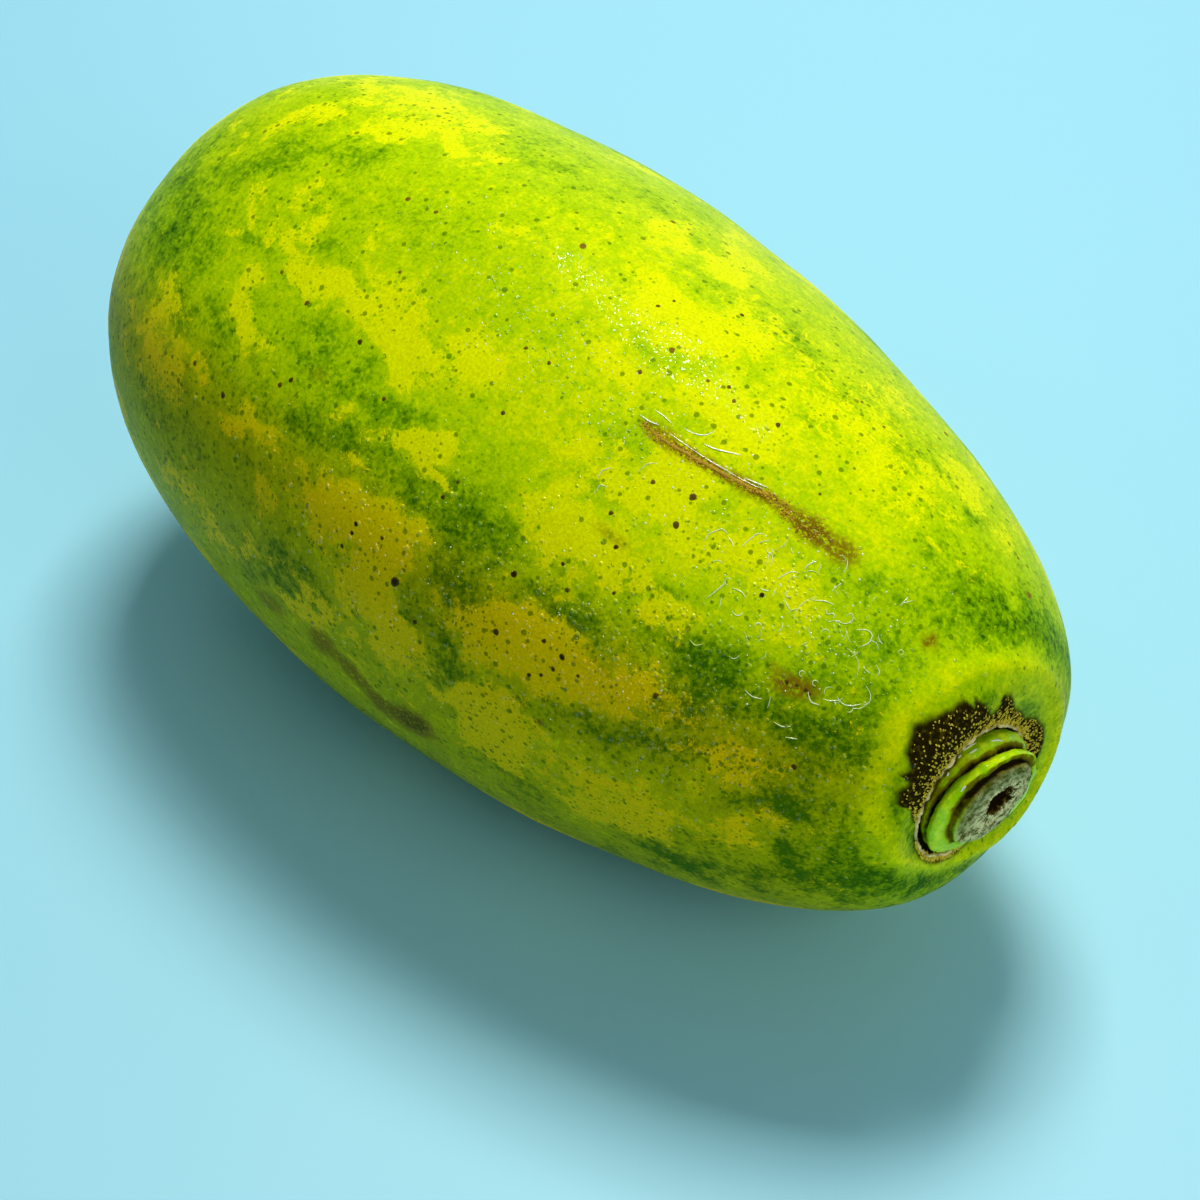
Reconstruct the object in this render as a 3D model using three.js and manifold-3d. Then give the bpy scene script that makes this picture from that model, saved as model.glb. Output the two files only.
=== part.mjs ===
// A papaya lying on its side: the whole fruit, and the cut stub of its stem in the shoulder.
// The fruit is first shaped round its own axis, X, from the blossom tip at -X to the stem
// at +X, and then laid down on a small flat spot. Millimetres, +Z up.
import * as THREE from "three";
import { mergeVertices } from "three/addons/utils/BufferGeometryUtils.js";
import Module from "manifold-3d";

// Outline of the fruit: the distance from its middle to the skin at even steps of
// 22.5 degrees, from the blossom tip round to where the stem's axis comes out.
const polarRadii = [93, 84.7, 66.1, 53.8, 49.7, 51.7, 61, 82.2, 98.5];
const shoulderHeight = 91.8; // the stem end is flattened here, measured from the middle
const shoulderRounding = 2; // how softly the side turns into that flat shoulder
const basinRadius = 14.5; // the shallow dish that the stem stands in
const basinDepth = 2.4;
const shoulderReach = 24; // out to this radius the shoulder is drawn over to the stem
const blossomScarRadius = 4.0; // the small dimple left by the flower
const blossomScarDepth = 1.2;

// Five faint lobes, one for each of the flower's carpels. A furrow lies underneath.
const lobeCount = 5;
const lobeSwell = 0.018; // share of the radius
const firstLobe = THREE.MathUtils.degToRad(18);

// How the fruit lies: its slimmer stem end hangs a little low.
const restTilt = THREE.MathUtils.degToRad(2.2);
const restSpotDepth = 0.5; // the skin is pressed flat by this much where it rests

// The stem stands a little off the fruit's axis, in a socket with a groove round its foot.
const stemSide = -2.9;
const stemRise = 0.8;
const seatHeight = 88.9; // floor of the groove, from the fruit's middle
const grooveRadius = 11.0;
const socketRadius = 7.2;
const socketDepth = 12;
const clearance = 0.3;

// Stub of the stem from its root to the middle of the cut: radius, height over the seat,
// how far that ring follows the wave between the two collars, and how far it swells upwards.
const rootRadius = socketRadius - clearance;
const stemProfile = [
  [0, -socketDepth + clearance, 0, 0],
  [rootRadius - 0.6, -socketDepth + clearance, 0, 0],
  [rootRadius, -socketDepth + clearance + 0.6, 0, 0],
  [rootRadius, clearance, 0, 0],
  [9.4, clearance, 0, 0],
  [10.0, 0.6, 0, 0.2],
  [10.2, 1.2, 0.2, 0.3],
  [10.2, 1.9, 0.5, 0.5],
  [9.8, 2.4, 0.8, 0.5],
  [9.0, 2.75, 1, 0.2],
  [8.8, 2.9, 1, -0.1],
  [9.3, 3.15, 1, -0.4],
  [9.8, 3.6, 1, -0.5],
  [9.9, 4.2, 0.9, -0.5],
  [9.5, 4.7, 0.8, -0.4],
  [8.8, 4.95, 0.6, -0.3],
  [8.1, 4.8, 0.4, -0.1],
  [7.5, 4.7, 0.2, 0],
  [7.5, 5.3, 0, 0],
  [7.6, 5.8, 0, 0],
  [7.2, 6.2, 0, 0],
  [6.4, 6.35, 0, 0],
  [4.4, 6.4, 0, 0],
  [2.9, 6.2, 0, 0],
  [2.3, 5.6, 0, 0],
  [1.2, 5.2, 0, 0],
  [0, 5.1, 0, 0],
];
const collarWave = 0.55; // rise and fall of the groove between the collars
const collarWaveStart = THREE.MathUtils.degToRad(50);
const swellTowards = THREE.MathUtils.degToRad(60);

// The stub was cut a little askew, so what stands over its foot leans more and more.
const leanStart = 1.4; // height over the seat
const cutHeight = 6.4;
const leanSide = 0.07; // rise of the cut along X for each millimetre to the side
const leanRise = 0.145; // and for each millimetre upwards
const bendRise = 0.8; // how far the cut lies over the foot
const pithRadius = 2.9;
const pithSide = 1.3; // the pith lies off the middle of the cut

// Fineness of the facets.
const bodyRings = 38;
const shoulderRings = 9;
const shoulderStart = THREE.MathUtils.degToRad(158);
const facetsAround = 60;
const stemFacetsAround = 40;

const skinMaterial = new THREE.MeshStandardMaterial({
  color: "#a9bd16",
  roughness: 0.38,
  metalness: 0,
});
const stemMaterial = new THREE.MeshStandardMaterial({
  color: "#7d9430",
  roughness: 0.55,
  metalness: 0,
});

const wasm = await Module();
wasm.setup();

// The smooth even curve through values at equal steps of an angle from 0 to pi.
function cosineCurve(values) {
  const last = values.length - 1;
  const half = (i) => (i === 0 || i === last ? 0.5 : 1);
  const weights = values.map((_, k) => {
    const sum = values.reduce(
      (total, value, j) => total + half(j) * value * Math.cos((k * Math.PI * j) / last),
      0,
    );
    return (half(k) * 2 * sum) / last;
  });
  return (angle) => weights.reduce((sum, w, k) => sum + w * Math.cos(k * angle), 0);
}

const polarRadius = cosineCurve(polarRadii);

// How much of a round hollow's depth is left at a distance from its middle.
function hollow(distance, radius) {
  return Math.exp(-((distance / radius) ** 4));
}

// A point of the skin: polar angle from the blossom tip, and the angle round the axis.
function skinPoint(polar, around) {
  const distance = polarRadius(polar);
  const sine = Math.max(Math.sin(polar), 0);
  const lobe = lobeSwell * Math.sqrt(sine) * Math.cos(lobeCount * (around - firstLobe));
  const radius = distance * sine * (1 + lobe);
  let x = -distance * Math.cos(polar);
  const over = (x - shoulderHeight) / shoulderRounding;
  x -= shoulderRounding * Math.log1p(Math.exp(over));
  if (polar > Math.PI / 2) x -= basinDepth * hollow(radius, basinRadius);
  else x += blossomScarDepth * hollow(radius, blossomScarRadius);
  const away = THREE.MathUtils.smoothstep(radius, grooveRadius, shoulderReach);
  const drawn = polar > Math.PI / 2 ? 1 - away : 0;
  return new THREE.Vector3(
    x,
    radius * Math.cos(around) + stemSide * drawn,
    radius * Math.sin(around) + stemRise * drawn,
  );
}

// A point of the stem's stub: a ring of its profile, and the angle round its axis.
function stemPoint([ringRadius, height, waviness, swell], around) {
  const radius = ringRadius + swell * Math.cos(around - swellTowards);
  const wave = collarWave * waviness * Math.cos(2 * (around - collarWaveStart));
  const lean = Math.max(height - leanStart, 0) / (cutHeight - leanStart);
  const inward = 1 - THREE.MathUtils.smoothstep(ringRadius, pithRadius, rootRadius);
  const side = radius * Math.cos(around);
  const rise = radius * Math.sin(around);
  return new THREE.Vector3(
    seatHeight + height + wave + lean * (leanSide * side + leanRise * rise),
    stemSide + side + (height > leanStart ? pithSide * inward : 0),
    stemRise + rise + lean * bendRise,
  );
}

// A closed surface from rings of points round X. Its first and last rings are single points.
function ringedGeometry(rings, around, pointAt) {
  const last = rings.length - 1;
  const points = [pointAt(rings[0], 0)];
  for (const ring of rings.slice(1, last))
    for (let i = 0; i < around; i++) points.push(pointAt(ring, (2 * Math.PI * i) / around));
  points.push(pointAt(rings[last], 0));

  const index = [];
  const at = (ring, i) => 1 + (ring - 1) * around + (i % around);
  for (let i = 0; i < around; i++) {
    index.push(0, at(1, i + 1), at(1, i));
    for (let ring = 1; ring < last - 1; ring++) {
      index.push(at(ring, i), at(ring, i + 1), at(ring + 1, i));
      index.push(at(ring, i + 1), at(ring + 1, i + 1), at(ring + 1, i));
    }
    index.push(at(last - 1, i), at(last - 1, i + 1), points.length - 1);
  }
  return new THREE.BufferGeometry().setFromPoints(points).setIndex(index);
}

function solidFrom(geometry) {
  const bare = geometry.clone();
  bare.deleteAttribute("normal");
  bare.deleteAttribute("uv");
  const merged = mergeVertices(bare, 1e-4);
  return new wasm.Manifold(
    new wasm.Mesh({
      numProp: 3,
      vertProperties: new Float32Array(merged.attributes.position.array),
      triVerts: new Uint32Array(merged.index.array),
    }),
  );
}

function geometryFrom(solid) {
  const mesh = solid.getMesh();
  const geometry = new THREE.BufferGeometry();
  geometry.setAttribute("position", new THREE.BufferAttribute(mesh.vertProperties, 3));
  geometry.setIndex(new THREE.BufferAttribute(mesh.triVerts, 1));
  return geometry;
}

// A cylinder along the stem's axis between two heights from the fruit's middle.
function stemCylinder(radius, from, to) {
  const cylinder = new THREE.CylinderGeometry(radius, radius, to - from, stemFacetsAround);
  cylinder.rotateZ(-Math.PI / 2);
  return cylinder.translate((from + to) / 2, stemSide, stemRise);
}

// The angles of the fruit's rings, closer together over the shoulder.
function skinRings() {
  const rings = [];
  for (let i = 0; i < bodyRings; i++) rings.push((shoulderStart * i) / bodyRings);
  for (let i = 0; i <= shoulderRings; i++)
    rings.push(shoulderStart + ((Math.PI - shoulderStart) * i) / shoulderRings);
  return rings;
}

// The whole fruit, laid down, with the groove and socket for the stem and the flat spot.
function makeFruit(layDown) {
  const skin = ringedGeometry(skinRings(), facetsAround, skinPoint).applyMatrix4(layDown);
  const outside = shoulderHeight + 20;
  const groove = stemCylinder(grooveRadius, seatHeight, outside).applyMatrix4(layDown);
  const socket = stemCylinder(
    socketRadius,
    seatHeight - socketDepth,
    outside,
  ).applyMatrix4(layDown);
  const below = 20;
  const table = new THREE.BoxGeometry(400, 200, below).translate(0, 0, -below / 2);
  return geometryFrom(
    solidFrom(skin)
      .subtract(solidFrom(groove).add(solidFrom(socket)))
      .subtract(solidFrom(table)),
  );
}

function makeStem(layDown) {
  return ringedGeometry(stemProfile, stemFacetsAround, stemPoint).applyMatrix4(layDown);
}

// The move that lays the fruit down: the tilt, then up until only the rest spot is under 0,
// and along X until the fruit with its stem is centred.
function layDownMatrix() {
  const tilt = new THREE.Matrix4().makeRotationY(restTilt);
  const skin = ringedGeometry(skinRings(), facetsAround, skinPoint).applyMatrix4(tilt);
  const stem = ringedGeometry(stemProfile, stemFacetsAround, stemPoint).applyMatrix4(tilt);
  skin.computeBoundingBox();
  stem.computeBoundingBox();
  const lowest = skin.boundingBox.min.z;
  const box = skin.boundingBox.union(stem.boundingBox);
  return new THREE.Matrix4()
    .makeTranslation(-(box.min.x + box.max.x) / 2, 0, -lowest - restSpotDepth)
    .multiply(tilt);
}

function part(name, geometry, material) {
  const mesh = new THREE.Mesh(geometry, material);
  mesh.name = name;
  return mesh;
}

const layDown = layDownMatrix();
const papaya = new THREE.Group();
papaya.add(part("fruit", makeFruit(layDown), skinMaterial));
papaya.add(part("stem", makeStem(layDown), stemMaterial));

export default papaya;
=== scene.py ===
"""A ripening papaya on a pale table: skin, cut stem, corky scar, specks and water beads."""

import math

import bpy
import numpy as np
from mathutils import Matrix, Vector, noise
from mathutils.bvhtree import BVHTree


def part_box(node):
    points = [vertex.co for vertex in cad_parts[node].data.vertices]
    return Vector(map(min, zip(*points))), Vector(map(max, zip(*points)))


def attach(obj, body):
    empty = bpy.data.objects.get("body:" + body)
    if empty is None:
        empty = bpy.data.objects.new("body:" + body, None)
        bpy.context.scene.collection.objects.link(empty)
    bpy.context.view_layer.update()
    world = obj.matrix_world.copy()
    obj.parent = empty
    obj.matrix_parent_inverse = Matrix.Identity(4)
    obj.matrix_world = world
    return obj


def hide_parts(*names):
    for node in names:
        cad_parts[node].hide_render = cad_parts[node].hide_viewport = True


bl_info = {
    "name": "Papaya",
    "version": (1, 0, 0),
    "blender": (4, 5, 0),
    "location": "View3D > Sidebar > Papaya",
    "description": "Builds a ripening papaya with its cut stem, blemishes and water beads",
    "category": "Object",
}

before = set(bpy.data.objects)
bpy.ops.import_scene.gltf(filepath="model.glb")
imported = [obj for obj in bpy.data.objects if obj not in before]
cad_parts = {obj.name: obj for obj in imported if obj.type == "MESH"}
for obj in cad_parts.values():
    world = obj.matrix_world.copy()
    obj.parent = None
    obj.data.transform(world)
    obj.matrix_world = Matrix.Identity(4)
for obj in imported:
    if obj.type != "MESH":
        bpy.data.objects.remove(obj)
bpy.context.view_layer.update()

MM = 0.001
PHOTO_PIXELS = 1200
MID_PIXEL = PHOTO_PIXELS / 2
FULL_TURN = 2 * math.pi
SEED = 11


# Small tools


def linear(code):
    """A colour written as sRGB hex, as linear red, green, blue and alpha."""
    parts = [int(code[i:i + 2], 16) / 255 for i in (1, 3, 5)]
    return tuple(c / 12.92 if c <= 0.04045 else ((c + 0.055) / 1.055) ** 2.4 for c in parts) + (1.0,)


def ring_faces(rings, around, start=0):
    """Faces between neighbouring rings of points, the first point having a given number."""
    faces = []
    for ring in range(rings - 1):
        a = start + ring * around
        b = a + around
        for i in range(around):
            j = (i + 1) % around
            faces.append((a + i, a + j, b + j, b + i))
    return faces


def smooth(low, high, value):
    """0 under low, 1 over high and a smooth step between."""
    t = np.clip((value - low) / (high - low), 0.0, 1.0)
    return t * t * (3 - 2 * t)


def cosine_curve(values, turn):
    """The smooth even curve through values at equal steps of an angle from 0 to pi."""
    last = len(values) - 1
    steps = np.arange(last + 1)
    half = np.where((steps == 0) | (steps == last), 0.5, 1.0)
    total = np.zeros_like(turn)
    for k in range(last + 1):
        weight = (half * np.array(values) * np.cos(k * np.pi * steps / last)).sum()
        total = total + half[k] * 2 / last * weight * np.cos(k * turn)
    return total


def fractal(points, size, octaves=4, seed=0.0):
    """Fractal noise about 0, with features of the given size, at points in millimetres."""
    shift = Vector((seed, 0.37 * seed, -0.71 * seed))
    return np.array(
        [noise.fractal(Vector(p) / size + shift, 1.0, 2.0, octaves) for p in points.tolist()]
    )


# Sizes and colours


def number(name, value, text, **options):
    """A number that a user can change."""
    return bpy.props.FloatProperty(name=name, default=value, description=text, **options)


def angle(name, degrees, text):
    """An angle that a user can change."""
    return number(name, math.radians(degrees), text, subtype="ANGLE")


def count(name, value, text):
    """A whole number that a user can change."""
    return bpy.props.IntProperty(name=name, default=value, description=text)


def colour(name, code, text):
    """A colour that a user can change, from its sRGB hex."""
    return bpy.props.FloatVectorProperty(
        name=name, subtype="COLOR", size=4, default=linear(code), description=text)


class FruitShape(bpy.types.PropertyGroup):
    """The fruit's form round its own axis, before it is laid down, in millimetres."""

    polar_radii: bpy.props.FloatVectorProperty(
        name="Polar radii", size=9, default=(93, 84.7, 66.1, 53.8, 49.7, 51.7, 61, 82.2, 98.5),
        description="Distance from the middle to the skin every 22.5 degrees from the blossom tip")
    shoulder_height: number("Shoulder height", 91.8, "Where the stem end is flattened")
    shoulder_rounding: number("Shoulder rounding", 2.0, "How softly the side turns in")
    shoulder_reach: number("Shoulder reach", 24.0, "Out to this radius the skin is drawn to the stem")
    basin_radius: number("Basin radius", 14.5, "Radius of the dish round the stem")
    basin_depth: number("Basin depth", 2.4, "Depth of the dish round the stem")
    blossom_radius: number("Blossom scar radius", 4.0, "Dimple left by the flower")
    blossom_depth: number("Blossom scar depth", 1.2, "Depth of that dimple")
    lobe_swell: number("Lobe swell", 0.018, "Height of the five lobes over the radius")
    first_lobe: angle("First lobe", 18, "Where the first lobe stands round the axis")
    rest_tilt: angle("Rest tilt", 2.2, "How far the stem end hangs")
    rest_spot_depth: number("Rest spot depth", 0.5, "How far the skin is pressed flat")
    skin_step: number("Skin step", 1.05, "Spacing of the skin's rings")
    shoulder_step: number("Shoulder step", 0.34, "Spacing of the rings round the stem")
    around: count("Points around", 360, "Points in each ring of the skin")


class StemShape(bpy.types.PropertyGroup):
    """The cut stub of the stem, in millimetres."""

    side: number("Side", -2.9, "How far the stem stands off the axis across")
    rise: number("Rise", 0.8, "How far the stem stands off the axis upwards")
    seat: number("Seat", 88.9, "Floor of the groove, from the fruit's middle")
    groove_radius: number("Groove radius", 11.0, "Outer wall of the groove")
    socket_radius: number("Socket radius", 7.2, "Wall of the socket")
    socket_depth: number("Socket depth", 12.0, "Depth of the socket under the seat")
    clearance: number("Clearance", 0.3, "Gap between stem and fruit")
    collar_wave: number("Collar wave", 1.0, "Rise and fall of the groove between the collars")
    wave_towards: angle("Wave towards", 28, "Where round the stem the groove is highest")
    swell_towards: angle("Swell towards", 60, "Where round the stem the collars are fattest")
    lean_start: number("Lean start", 1.4, "Height over the seat from which the stub leans")
    cut_height: number("Cut height", 6.4, "Height of the cut over the seat")
    lean_side: number("Lean to the side", 0.07, "Rise of the cut for each millimetre across")
    lean_rise: number("Lean upwards", 0.145, "Rise of the cut for each millimetre upwards")
    bend_rise: number("Bend", 0.8, "How far the cut lies over the foot")
    pith_radius: number("Pith radius", 2.9, "Radius of the hollow pith")
    pith_side: number("Pith side", 1.3, "How far the pith lies off the middle of the cut")
    around: count("Points around", 240, "Points in each ring of the stem")


class SkinLook(bpy.types.PropertyGroup):
    """Colours of the skin, from unripe to ripe, and darker copies of them that paint the shade of the
    side turned from the lamp.
    """

    deep_green: colour("Deep green", "#275c00", "The least ripe skin")
    bright_lime: colour("Bright lime", "#dcec00", "Skin that has all but turned")
    leaf_green: colour("Leaf green", "#7cad00", "Unripe skin")
    lime: colour("Lime", "#b4d800", "Skin about to turn")
    lemon: colour("Lemon", "#e6f000", "Ripe skin")
    # The four below are darker copies of the skin's colours that paint its shade on the side turned
    # from the lamp.
    shaded_deep_olive: colour("Deep olive", "#456c00", "The least ripe skin underneath")
    shaded_pale_olive: colour("Pale olive", "#e2dc00", "Skin that has all but turned, underneath")
    shaded_olive: colour("Olive", "#b2b200", "Skin about to turn underneath")
    shaded_amber: colour("Amber", "#e9c900", "Ripe skin underneath")


class StageLook(bpy.types.PropertyGroup):
    """The camera, as the photograph was taken, and the colour of the table."""

    azimuth: angle("Azimuth", 46.8, "Camera's turn round the fruit")
    elevation: angle("Elevation", 42.0, "Camera's height above the horizon")
    distance: number("Distance", 0.5176, "From the camera to the fruit's middle", unit="LENGTH")
    focal_pixels: number("Focal length in pixels", 3200.0, "For a 1200 pixel frame")
    middle_u: number("Middle across", 566.0, "Pixel column of the fruit's middle")
    middle_v: number("Middle down", 480.0, "Pixel row of the fruit's middle")
    floor_colour: colour("Floor", "#9fe1f3", "Pale blue table")


# Where the fruit lies

LOBES = 5

# Points along and around the plain skin, for laying it down and for finding places on it. How
# far from its poles the second set starts, and the polar angle of the tip, in radians.
LAID_POINTS = (400, 120)
SEARCH_POINTS = (500, 240)
POLE_GAP = 1e-3
TIP_ANGLE = 1e-4


def profile(shape, polar):
    """Distance along the axis and radius of the skin at a polar angle, with no lobes."""
    distance = cosine_curve(shape.polar_radii, polar)
    radius = distance * np.clip(np.sin(polar), 0, None)
    x = -distance * np.cos(polar)
    over = (x - shape.shoulder_height) / shape.shoulder_rounding
    x = x - shape.shoulder_rounding * np.log1p(np.exp(over))
    stem_end = polar > np.pi / 2
    dish = shape.basin_depth * np.exp(-((radius / shape.basin_radius) ** 4))
    dimple = shape.blossom_depth * np.exp(-((radius / shape.blossom_radius) ** 4))
    return x - np.where(stem_end, dish, -dimple), radius


def skin_points(shape, stem, polar, around):
    """Points of the plain skin in the fruit's own axes, in millimetres."""
    x, radius = profile(shape, polar)
    sine = np.clip(np.sin(polar), 0, None)
    lobes = np.cos(LOBES * (around - shape.first_lobe))
    radius = radius * (1 + shape.lobe_swell * np.sqrt(sine) * lobes)
    drawn = 1 - smooth(stem.groove_radius, shape.shoulder_reach, radius)
    pull = np.where(polar > np.pi / 2, drawn, 0.0)
    return np.stack(
        [x, radius * np.cos(around) + stem.side * pull, radius * np.sin(around) + stem.rise * pull],
        axis=-1)


def lay_down_move(shape, stem):
    """The turn and shift, in millimetres, that lay the fruit down where the solids are."""
    c, s = math.cos(shape.rest_tilt), math.sin(shape.rest_tilt)
    turn = np.array([[c, 0, s], [0, 1, 0], [-s, 0, c]])
    along, around = LAID_POINTS
    polar, around = np.meshgrid(np.linspace(0, np.pi, along), np.linspace(0, FULL_TURN, around))
    laid = skin_points(shape, stem, polar, around).reshape(-1, 3) @ turn.T
    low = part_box("fruit")[0]
    shift = np.array([low[0] / MM - laid[:, 0].min(), 0, -laid[:, 2].min() - shape.rest_spot_depth])
    return turn, shift


def camera_axes(look):
    """The camera's right, up and back directions."""
    a, e = look.azimuth, look.elevation
    back = np.array([math.sin(a) * math.cos(e), -math.cos(a) * math.cos(e), math.sin(e)])
    right = np.array([math.cos(a), math.sin(a), 0.0])
    return right, np.cross(back, right), back


class Layout:
    """The fruit's place and the camera's, shared by the pieces."""

    def __init__(self, settings):
        self.shape, self.stem, self.look = settings.shape, settings.stem, settings.stage
        self.turn, self.shift = lay_down_move(self.shape, self.stem)
        self.right, self.up, self.back = camera_axes(self.look)
        aim_x = (self.look.middle_u - MID_PIXEL) / self.look.focal_pixels
        aim_y = -(self.look.middle_v - MID_PIXEL) / self.look.focal_pixels
        reach = self.look.distance / MM
        self.tree = None
        self.camera = self.shift + self.back * reach - (self.right * aim_x + self.up * aim_y) * reach

    def laid(self, points):
        """Points in the fruit's own axes, laid down, in millimetres."""
        return points @ self.turn.T + self.shift

    def pixels(self, points):
        """Where laid points fall in the photograph, in pixels."""
        away = points - self.camera
        depth = -(away @ self.back)
        scale = self.look.focal_pixels / depth
        return np.stack(
            [MID_PIXEL + (away @ self.right) * scale, MID_PIXEL - (away @ self.up) * scale], axis=-1)

    def own(self, point):
        """A laid point back in the fruit's own axes."""
        return (np.asarray(point) - self.shift) @ self.turn

    def plain_skin(self):
        """A search tree over the plain laid skin, made once."""
        if self.tree is None:
            rings, sides = SEARCH_POINTS
            polar, around = np.meshgrid(
                np.linspace(POLE_GAP, np.pi - POLE_GAP, rings),
                np.linspace(0, FULL_TURN, sides, endpoint=False), indexing="ij")
            points = self.laid(skin_points(self.shape, self.stem, polar, around).reshape(-1, 3))
            faces = ring_faces(rings, sides)
            self.tree = BVHTree.FromPolygons(points.tolist(), faces)
        return self.tree

    def on_skin(self, u, v):
        """The laid point of the plain skin that a pixel shows."""
        hit = self.plain_skin().ray_cast(Vector(self.camera), self.ray(u, v))
        if hit[0] is None:
            raise RuntimeError(f"pixel {u}, {v} misses the fruit")
        return np.array(hit[0])

    def ray(self, u, v):
        """Direction from the camera through a pixel."""
        f = self.look.focal_pixels
        d = self.right * (u - MID_PIXEL) / f - self.up * (v - MID_PIXEL) / f - self.back
        return Vector(d).normalized()


# Meshes and materials


def new_object(name, points, faces, material, smooth_faces=True):
    """A mesh object from points in millimetres."""
    mesh = bpy.data.meshes.new(name)
    mesh.from_pydata((np.asarray(points) * MM).tolist(), [], faces)
    mesh.validate()
    mesh.materials.append(material)
    mesh.polygons.foreach_set("use_smooth", [smooth_faces] * len(mesh.polygons))
    piece = bpy.data.objects.new(name, mesh)
    bpy.context.scene.collection.objects.link(piece)
    return piece


def paint(piece, **layers):
    """Gives a mesh one float attribute for each layer of values at its points."""
    for name, values in layers.items():
        layer = piece.data.attributes.new(name, "FLOAT", "POINT")
        layer.data.foreach_set("value", np.asarray(values, dtype=np.float32))


def closed_faces(rings, around):
    """Faces of a closed surface of rings, whose first and last points are its poles."""
    faces = ring_faces(rings, around, 1)
    tail = 1 + (rings - 1) * around
    for i in range(around):
        j = (i + 1) % around
        faces.append((0, 1 + j, 1 + i))
        faces.append((tail + i, tail + j, tail + around))
    return faces


def with_poles(values):
    """Values over the rings of a closed surface, with those of its two poles."""
    return np.concatenate([values[:1], values, values[-1:]])


def ring_normals(rings):
    """Outward normals of an array of rings of points."""
    around = np.roll(rings, -1, axis=1) - np.roll(rings, 1, axis=1)
    along = np.gradient(rings, axis=0)
    normals = np.cross(around, along)
    return normals / np.maximum(np.linalg.norm(normals, axis=-1, keepdims=True), 1e-9)


def add(tree, kind, inputs=None, **settings):
    """Adds a node with its settings, and links or sets its inputs by name or number."""
    node = tree.nodes.new(kind)
    for key, value in settings.items():
        setattr(node, key, value)
    for key, value in (inputs or {}).items():
        socket = node.inputs[key]
        if isinstance(value, bpy.types.NodeSocket):
            tree.links.new(value, socket)
        else:
            socket.default_value = value
    return node


def material_tree(name):
    """A new material and its empty node tree."""
    material = bpy.data.materials.new(name)
    material.use_nodes = True
    material.node_tree.nodes.clear()
    return material, material.node_tree


def mathed(tree, operation, a, b=0.0, c=0.0, clamp=False):
    """The result of one Math node."""
    node = add(tree, "ShaderNodeMath", {0: a, 1: b, 2: c}, operation=operation, use_clamp=clamp)
    return node.outputs[0]


def mixed(tree, factor, a, b):
    """One colour mixed into another by a factor."""
    return add(tree, "ShaderNodeMix", {"Factor": factor, 6: a, 7: b}, data_type="RGBA").outputs[2]


def stepped(tree, value, low, high, to_low=0.0, to_high=1.0):
    """A value taken smoothly from one range to another."""
    return add(
        tree, "ShaderNodeMapRange",
        {"Value": value, "From Min": low, "From Max": high, "To Min": to_low, "To Max": to_high},
        interpolation_type="SMOOTHSTEP").outputs[0]


def grain(tree, where, size, detail=3.0, roughness=0.55, distortion=0.0):
    """Noise whose features have a size in millimetres, from 0 to 1 about 0.5."""
    return add(
        tree, "ShaderNodeTexNoise",
        {"Vector": where, "Scale": 1 / (size * MM), "Detail": detail, "Roughness": roughness,
         "Distortion": distortion}).outputs[0]


def swing(tree, where, size, amount, detail=3.0, roughness=0.55, distortion=0.0):
    """Noise about 0, whose whole range is the amount."""
    noisy = grain(tree, where, size, detail, roughness, distortion)
    return mathed(tree, "MULTIPLY_ADD", noisy, amount, -amount / 2)


def attributes(tree, *names):
    """Float attributes of the mesh."""
    return [add(tree, "ShaderNodeAttribute", attribute_name=name).outputs["Fac"] for name in names]


def finish_tree(tree, inputs):
    """Ends a tree in one surface shader with the given inputs."""
    shader = add(tree, "ShaderNodeBsdfPrincipled", inputs)
    add(tree, "ShaderNodeOutputMaterial", {"Surface": shader.outputs[0]})


# The skin

# Noise that bends the outlines of the patches: size in millimetres, reach in pixels, seeds.
WARP_SIZE = 9.0
PATCH_WARP = 26.0
WARP_SEEDS = (21.0, 33.0)

# The way that the shaded side faces, and how far a normal turns that way as shade sets in.
# That shade is painted into the skin's colour.
SHADED_SIDE = np.array([0.1, -0.45, -0.9])
SHADE_FADE = (-0.42, 0.08)

# What is left of that shade at the stem, and how far from it, in millimetres, it comes back.
STEM_SHADE = 0.35
SHADE_START = (15.0, 30.0)

# How squarely the skin faces the camera where the invented far side gives way to the photograph.
SEEN_FADE = (0.02, 0.2)

# How steeply a patch fades from its middle outwards.
PATCH_FALL = 0.7
PATCH_POWER = 1.3

# Blotches of the far side: size in millimetres, their stretch along the fruit, and contrast.
HIDDEN_BLOTCH = 15.0
HIDDEN_STRETCH = np.array([0.6, 1.0, 1.0])
HIDDEN_CONTRAST = 1.9

# How yellow and how green the skin between those blotches is, how much of their contrast goes
# into the green, and the most of either.
HIDDEN_YELLOW, HIDDEN_GREEN = 0.12, 0.1
GREEN_SHARE = 0.75
MOST_YELLOW, MOST_GREEN = 0.95, 0.75

# Clusters of dots: size in millimetres, and how yellow the skin is where the dots are closest
# and how far they spread from there.
CLUSTER_SIZE = 12.0
DOTTED_YELLOW, DOTTED_SPREAD = 0.5, 0.42
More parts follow.
